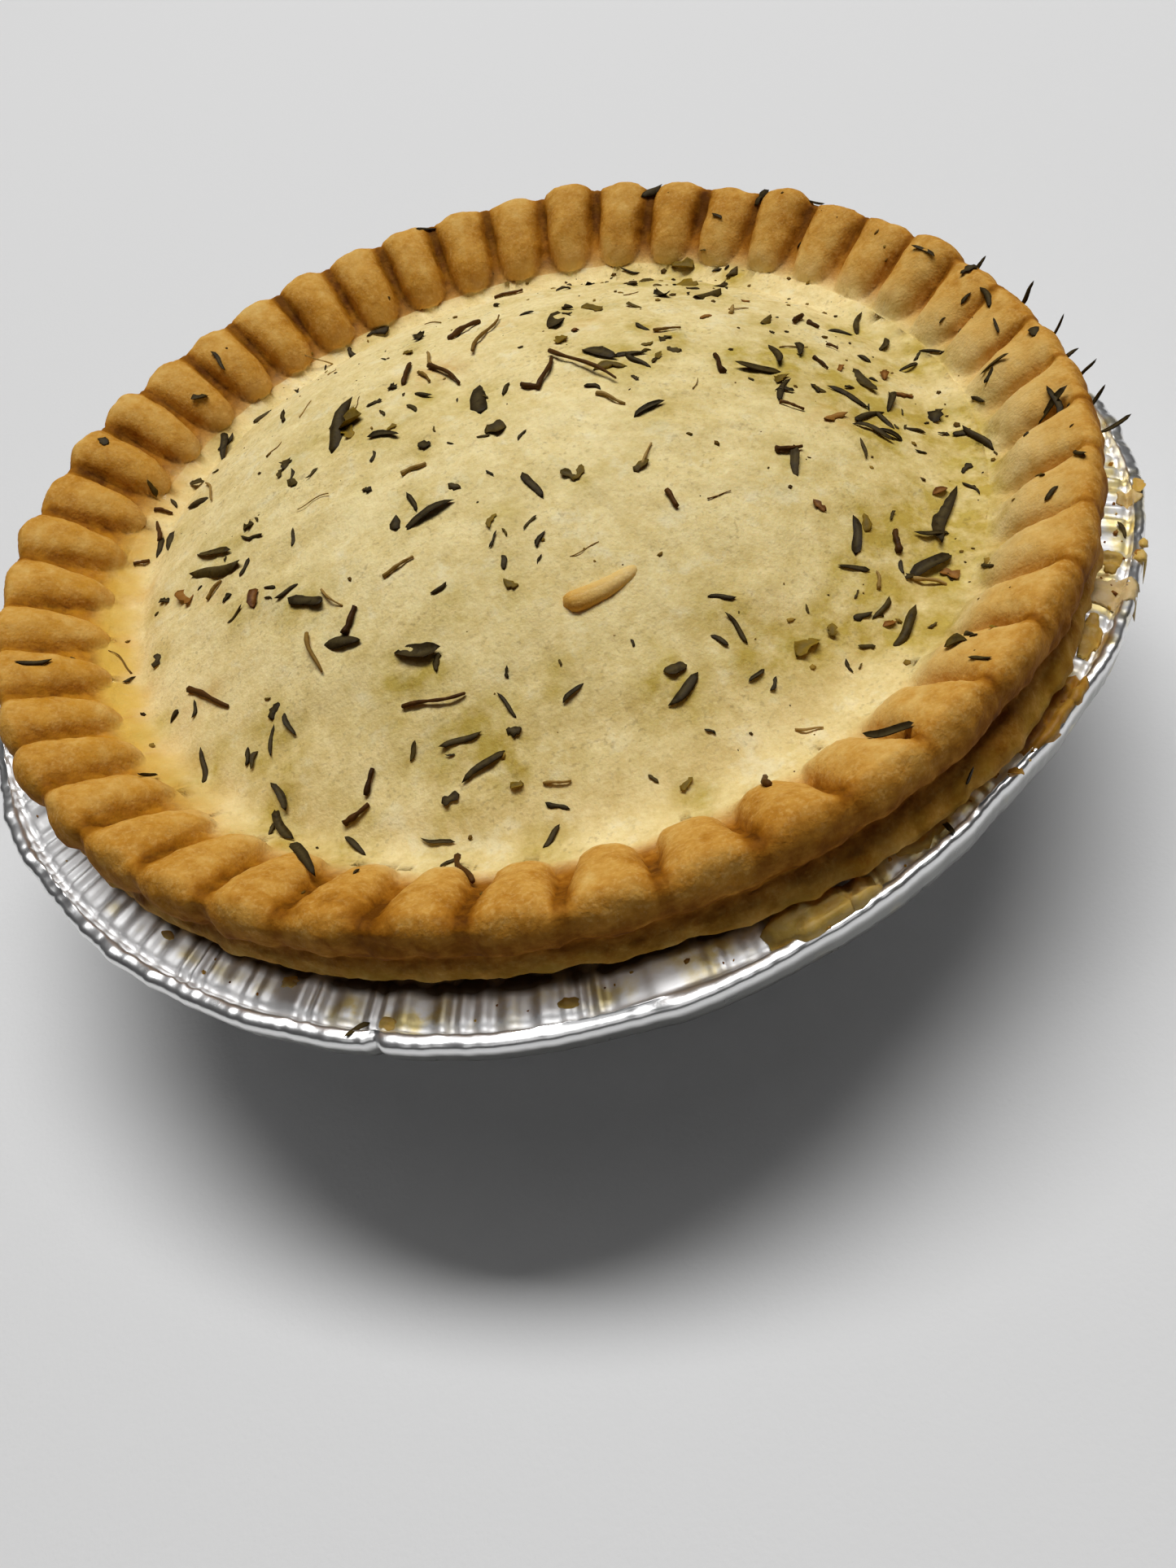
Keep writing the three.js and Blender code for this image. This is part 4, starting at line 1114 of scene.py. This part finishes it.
# of many draws of specks, the share kept, and what is added to it at the right and at the back
dustForm = dict(
    count=1200, reach=56, shortest=0.2, longest=1.0, seed=71, keepSeed=72, flatness=0.25,
    share=0.1, right=(0.3, 5, 36), back=(0.18, 12, 40), backFrom=(-40, -10),
    crimp=0.25, crimpRight=(0.5, 20, 50),
)


def drawnPlaces(form):
    # Random places over a disc, evenly by area, as x, y, length and heading
    draw = np.random.default_rng(form["seed"])
    count = form["count"]
    radius = form["reach"] * np.sqrt(draw.uniform(size=count))
    angle = draw.uniform(0, 2 * np.pi, count)
    length = form["shortest"] + (form["longest"] - form["shortest"]) * draw.uniform(size=count) ** 2
    x, y, level = polar(radius, angle, 0).T
    return np.column_stack([x, y, length, draw.uniform(0, 180, count)])


def chaffPlaces():
    # Small broken needles near the leaves: some leaves' places, each moved by its own normal draws
    form = chaffForm
    draw = np.random.default_rng(form["seed"])
    count = form["count"]
    chosen = laidLeaves[draw.integers(0, len(laidLeaves), count)]
    away = draw.normal(0, form["away"], (count, 2))
    length = form["shortest"] + (form["longest"] - form["shortest"]) * draw.uniform(size=count) ** 1.5
    places = np.column_stack([chosen[:, :2] + away, length, draw.uniform(0, 180, count)])
    return places[np.hypot(places[:, 0], places[:, 1]) < form["reach"]]


def dustPlaces():
    # Specks are thick on the right and the back of the lid, thin on its left and on the crimp
    form = dustForm
    places = drawnPlaces(form)
    x, y = places[:, 0], places[:, 1]
    share = form["share"] + grown(*form["right"], x)
    share = share + grown(*form["back"], y) * smoothStep(*form["backFrom"], x)
    onCrimp = np.hypot(x, y) > pastryForm["lidRadius"]
    share = share * np.where(onCrimp, form["crimp"] + grown(*form["crimpRight"], x), 1)
    return places[np.random.default_rng(form["keepSeed"]).uniform(size=len(places)) < share]


# the rib tones are painted highlights along the leaves' middles
leafLook = dict(
    tones=stops((0.0, (36, 26, 8)), (0.35, (50, 38, 16)), (0.6, (78, 61, 18)), (1.0, (152, 121, 32))),
    rib=tone(96, 83, 50), roughness=0.55)
bractLook = dict(
    tones=stops((0.0, (84, 44, 10)), (0.5, (128, 76, 20)), (1.0, (150, 106, 46))),
    rib=tone(176, 128, 70), roughness=0.5)
stalkLook = dict(
    tones=stops((0.0, (54, 31, 6)), (0.4, (92, 58, 20)), (0.7, (138, 105, 44)), (1.0, (172, 140, 80))),
    rib=tone(190, 160, 96), roughness=0.55)
dustLook = dict(
    tones=stops((0.0, (52, 36, 8)), (0.4, (98, 70, 18)), (1.0, (156, 124, 48))),
    rib=leafLook["rib"], roughness=0.6)

pieTop, trayTop = surfaceOf(pastry), surfaceOf(foilTray)
needleLengths = [needle[2] for needle in crimpNeedles]
leafParts = [leavesOn(pieTop, kind, laidThyme[kind], seed)
             for seed, kind in enumerate(("slim", "broad", "scrap", "olive"), 41)]
leafParts.append(leavesOn(pieTop, "chaff", chaffPlaces(), 45))
leafParts.append(leafSkins("slim", standAt(pieTop, crimpNeedles), needleLengths, 46))
leafParts.append(leavesOn(trayTop, "slim", onRim(flangeNeedles), 48))
makePiece("thymeLeaves", joined(leafParts), driedFinish("thymeLeafFinish", leafLook))

bracts = leavesOn(pieTop, "bract", laidThyme["bract"], 51)
makePiece("thymeBracts", bracts, driedFinish("thymeBractFinish", bractLook))

stalkPlaces = dict(stem=laidThyme["stem"], straw=laidThyme["straw"], hair=drawnPlaces(hairForm))
stalks = [stalksOn(pieTop, kind, places, seed) for seed, (kind, places) in enumerate(stalkPlaces.items(), 61)]
makePiece("thymeStalks", joined(stalks), driedFinish("thymeStalkFinish", stalkLook))

dust = lumpsOn(pieTop, dustPlaces(), dustForm["flatness"], (0.0, 1.0), 73)
makePiece("thymeDust", dust, driedFinish("thymeDustFinish", dustLook))


# A drop of pastry that lies on the lid

nubForm = dict(
    place=(4.4, -24.8, 8, 14), width=2.7, taper=0.48, blunt=6, sunk=0.45, flatness=0.8, raised=0.05, bow=0.5,
    # brown at its head, paler along it, and how much of the lid's cream it takes on, from where to where
    bake=0.37, paler=(0.13, 0.05, 0.5), cream=(0.3, 0.15, 0.9), gloss=0.06,
    rows=18, columns=16,
)


def nubSkin():
    # A tube along its place: radius = half width * (1 - taper u) * (1 - |2u - 1|^blunt)^(1/2)
    form = nubForm
    length = form["place"][2]
    u = np.linspace(0, 1, form["rows"] + 2)[1:-1][None, :, None]
    v = turns(form["columns"])[None, None]
    radius = form["width"] / 2 * (1 - form["taper"] * u) * (1 - np.abs(2 * u - 1) ** form["blunt"]) ** 0.5
    frames = layOn(pieTop, [form["place"]])
    bow = form["bow"] * np.sin(np.pi * u)
    up = radius * (form["flatness"] * np.sin(v) + form["raised"]) - form["sunk"] * u
    grid = inFrames(frames, (u - 0.5) * length + 0 * v, radius * np.cos(v) - bow, up)
    zero = np.zeros((1, 1, 1))
    ends = [inFrames(frames, zero + side * length, zero, zero - form["sunk"] * (side + 0.5))[:, 0, 0]
            for side in (-0.5, 0.5)]
    none = 0 * (u + v)
    return *closedSkins(grid, *ends), skinTraits(
        bake=form["bake"] - grown(*form["paler"], u) + none, lid=grown(*form["cream"], u) + none,
        oil=none, stain=none, juice=form["gloss"] + none)


makePiece("pastryNub", nubSkin(), pastryMaterial)


# Baked-on spill, crumbs and scraps on the flange

# angle, radius, half length along the rim, half width, thickness and tint of each patch
spillPatches = [
    (-78.2, 59.8, 4.6, 1.9, 1.8, 0.3), (-74.6, 60.0, 2.4, 1.5, 1.6, 0.24), (-51.5, 59.4, 4.4, 2.0, 0.7, 0.6),
    (-47.6, 60.2, 2.2, 1.3, 0.5, 0.55), (-41, 59.6, 2.6, 1.1, 0.25, 0.4), (-31.3, 59.8, 1.5, 1.1, 0.25, 0.3),
    (-22.2, 61.6, 1.3, 1.1, 0.2, 0.1), (-66.5, 58.8, 3.4, 1.0, 0.9, 0.3), (-112.4, 61, 0.8, 0.5, 0.35, 0.25),
    (-35.2, 60.2, 1.9, 2.8, 0.2, 0.0), (-30.6, 62.4, 0.8, 0.7, 0.3, 0.25), (-28.8, 62.6, 0.6, 0.5, 0.3, 0.3),
    (-98, 60.2, 0.9, 0.5, 0.3, 0.3), (-122, 58.8, 1.0, 0.5, 0.3, 0.25), (-136, 58.9, 0.7, 0.4, 0.25, 0.25),
]
spillShape = dict(
    rows=6, columns=26, inner=0.2, under=0.6, sunk=0.3,      # rings from inner to 1, and one sunk underneath
    ragged=0.12, lumps=[(2.2, 82, 0.12), (0.9, 83, 0.04)], seed=81,
)


def trayTopAt(radius, angle):
    # Height of the tray's upper face from its flange over the bead and down the skirt, by radius and angle
    line = trayLine()
    line = line[line[:, 1].argmax() - 2 * trayForm["flangeRows"]:]
    dented = trayForm["dentDepth"] * sideBump(angle, trayForm["dent"])
    inward = np.clip((radius - trayForm["mouth"]) / (trayForm["rim"] - dented - trayForm["mouth"]), 0, 1)
    plain = np.interp(radius + dented * inward, np.maximum.accumulate(line[:, 0]), line[:, 1])
    return plain + foilShift(np.minimum(radius + dented * inward, trayForm["rim"]), plain, angle)[1]


def spillSkins():
    # A patch is a low dome (1 - rho^2)^0.5 over a ragged oval, its outline 1 + sum of a cos(k v + phase)
    shape = spillShape
    draw = np.random.default_rng(shape["seed"])
    angle, radius, long, wide, thick, tint = (column[:, None, None] for column in np.array(spillPatches).T)
    count = len(spillPatches)
    rho = np.concatenate([np.linspace(shape["inner"], 1, shape["rows"]), [shape["under"]]])[None, :, None]
    v = turns(shape["columns"])[None, None]
    outline = np.ones((count, 1, 1)) + 0 * v
    for wave in range(2, 9):
        height = shape["ragged"] * draw.normal(size=(count, 1, 1)) / math.sqrt(wave)
        outline = outline + height * np.cos(wave * v + draw.uniform(0, 2 * np.pi, (count, 1, 1)))
    shown = np.arange(rho.shape[1])[None, :, None] < shape["rows"]
    level = np.where(shown, thick * np.sqrt(np.maximum(1 - rho ** 2, 0)), -shape["sunk"]) + 0 * v
    turn = np.radians(angle[:, 0, 0])
    frames = np.stack([polar(radius[:, 0, 0], turn, 0), polar(1, turn + np.pi / 2, 0), polar(1, turn, 0),
                       np.tile([0.0, 0.0, 1.0], (count, 1))])
    grid = inFrames(frames, long * rho * outline * np.cos(v), wide * rho * outline * np.sin(v), 0 * level)
    lumpy = softNoises(grid, shape["lumps"])
    foil = trayTopAt(np.hypot(grid[..., 0], grid[..., 1]), np.arctan2(grid[..., 1], grid[..., 0]))
    grid[..., 2] = foil + level + lumpy * np.minimum(thick, 1) * shown
    ends = np.stack([grid[:, 0].mean(axis=1), grid[:, -1].mean(axis=1)])
    return *closedSkins(grid, *ends), skinTraits(tint=tint + 0 * level, rib=0 * level)


# Scraps stuck to the rim: angle, distance inside it, length and turn from the rim's own heading
rimScraps = [
    (-49.7, 0.9, 1.8, 20), (-57.4, 0.8, 1.6, -35), (-77.6, 0.8, 1.6, 10), (-75.4, 1.0, 1.5, 40),
    (-30.5, 0.8, 1.4, 25), (-21, 0.9, 2.2, 5),
]
crumbForm = dict(
    count=60, smallest=0.25, largest=0.8, inner=58.8, outer=61, angle=-62, spread=52, flatness=0.8, seed=91)
spillTones = stops((0.0, (214, 186, 132)), (0.3, (214, 176, 84)), (0.55, (190, 138, 44)),
                   (0.8, (154, 98, 18)), (1.0, (104, 56, 4)))


def spillFinish():
    # Baked egg and gravy: glossy yellow to brown by tint
    finish = Finish("spillFinish")
    mottle = finish.noise(1.2, 4, 0.6)
    colour = finish.ramp((finish.trait("tint") + (mottle - 0.5) * 0.55).clamped(), spillTones)
    return finish.shade({
        "Base Color": colour,
        "Roughness": 0.3 + 0.35 * mottle,
        "Specular IOR Level": 0.2,
        "Subsurface Weight": 0.1,
        "Subsurface Radius": (1.0, 0.5, 0.2),
        "Subsurface Scale": 0.6 * mm,
        "Normal": finish.bump(finish.noise(0.6, 3), 0.15, 0.8),
    })


def crumbPlaces():
    # Crumbs on the flange, most of them at the front and the right
    form = crumbForm
    draw = np.random.default_rng(form["seed"])
    count = form["count"]
    angle = np.radians(form["angle"] + form["spread"] * draw.normal(size=count))
    radius = draw.uniform(form["inner"], form["outer"], count)
    size = form["smallest"] + (form["largest"] - form["smallest"]) * draw.uniform(size=count) ** 3
    x, y, level = polar(radius, angle, 0).T
    return np.column_stack([x, y, size, draw.uniform(0, 180, count)])


spillMaterial = spillFinish()
makePiece("bakedSpill", spillSkins(), spillMaterial)
makePiece("rimScraps", leavesOn(trayTop, "bract", onRim(rimScraps), 85), spillMaterial)
makePiece("crumbs", lumpsOn(trayTop, crumbPlaces(), crumbForm["flatness"], (0.2, 1.0), 92), spillMaterial)


# Floor, light, camera

studio = dict(
    floorSize=3.0, floorTone=tone(229, 229, 229), ambient=0.009,
    # a lamp is a bright ellipse; it leans from overhead, turned from +X; cards show only in reflections
    key=dict(distance=1.8, wide=1.75, deep=0.46, lean=20.5, turn=72, power=28.0),
    panel=dict(distance=1.7, wide=1.4, deep=1.4, lean=8, turn=80, power=2.6),
    card=dict(distance=1.4, wide=1.7, deep=0.9, lean=40, turn=-92, power=2.4),
    topCard=dict(distance=1.6, wide=1.2, deep=1.2, lean=4, turn=90, power=5.0),
    sensor=36, nearest=0.01,             # the camera's sensor in millimetres, and how near it sees, in metres
)


def makeFloor():
    # A square sheet with a faint grain
    finish = Finish("floorFinish")
    half = studio["floorSize"] / 2
    corners = [(-half, -half, 0), (half, -half, 0), (half, half, 0), (-half, half, 0)]
    mesh = bpy.data.meshes.new("floor")
    mesh.from_pydata(corners, [], [(0, 1, 2, 3)])
    mesh.materials.append(finish.shade({
        "Base Color": studio["floorTone"],
        "Roughness": 0.8,
        "Normal": finish.bump(finish.noise(0.6, 3), 0.06, 0.4),
    }))
    addObject("floor", mesh)


def makeLight(name):
    # An ellipse at a distance from the middle of the floor, facing it
    lamp = studio[name]
    lean, turn = math.radians(lamp["lean"]), math.radians(lamp["turn"])
    toward = Vector((math.sin(lean) * math.cos(turn), math.sin(lean) * math.sin(turn), math.cos(lean)))
    light = bpy.data.lights.new(name + "Light", "AREA")
    light.shape = "ELLIPSE"
    light.size = lamp["wide"]
    light.size_y = lamp["deep"]
    light.energy = lamp["power"]
    made = addObject(name + "Light", light)
    made.location = toward * lamp["distance"]
    made.rotation_mode = "QUATERNION"
    made.rotation_quaternion = (-toward).to_track_quat("-Z", "Y")
    made.visible_diffuse = name not in ("card", "topCard")


def makeStudio():
    # Floor, four lamps and a faint even light from all round
    makeFloor()
    for name in ("key", "panel", "card", "topCard"):
        makeLight(name)
    world = bpy.data.worlds.new("studioAir")
    world.use_nodes = True
    world.node_tree.nodes["Background"].inputs["Color"].default_value = (1, 1, 1, 1)
    world.node_tree.nodes["Background"].inputs["Strength"].default_value = studio["ambient"]
    bpy.context.scene.world = world
    bpy.context.scene.view_settings.view_transform = "Standard"


def makeCamera():
    # Forward from yaw and pitch, then level and upright turned about it by the roll
    yaw, pitch, roll = photo["yaw"], photo["pitch"], photo["roll"]
    forward = Vector((math.sin(yaw) * math.cos(pitch), math.cos(yaw) * math.cos(pitch), -math.sin(pitch)))
    level = Vector((math.cos(yaw), -math.sin(yaw), 0))
    upright = level.cross(forward)
    right = math.cos(roll) * level + math.sin(roll) * upright
    up = math.cos(roll) * upright - math.sin(roll) * level
    data = bpy.data.cameras.new("camera")
    data.sensor_width = studio["sensor"]
    data.lens = studio["sensor"] * photo["focalPixels"] / photo["height"]
    data.clip_start = studio["nearest"]
    camera = addObject("camera", data)
    turned = Matrix((right, up, -forward)).transposed().to_4x4()
    camera.matrix_world = Matrix.Translation(Vector(photo["place"]) * mm) @ turned
    bpy.context.scene.camera = camera


makeStudio()
makeCamera()
print("studio ready")
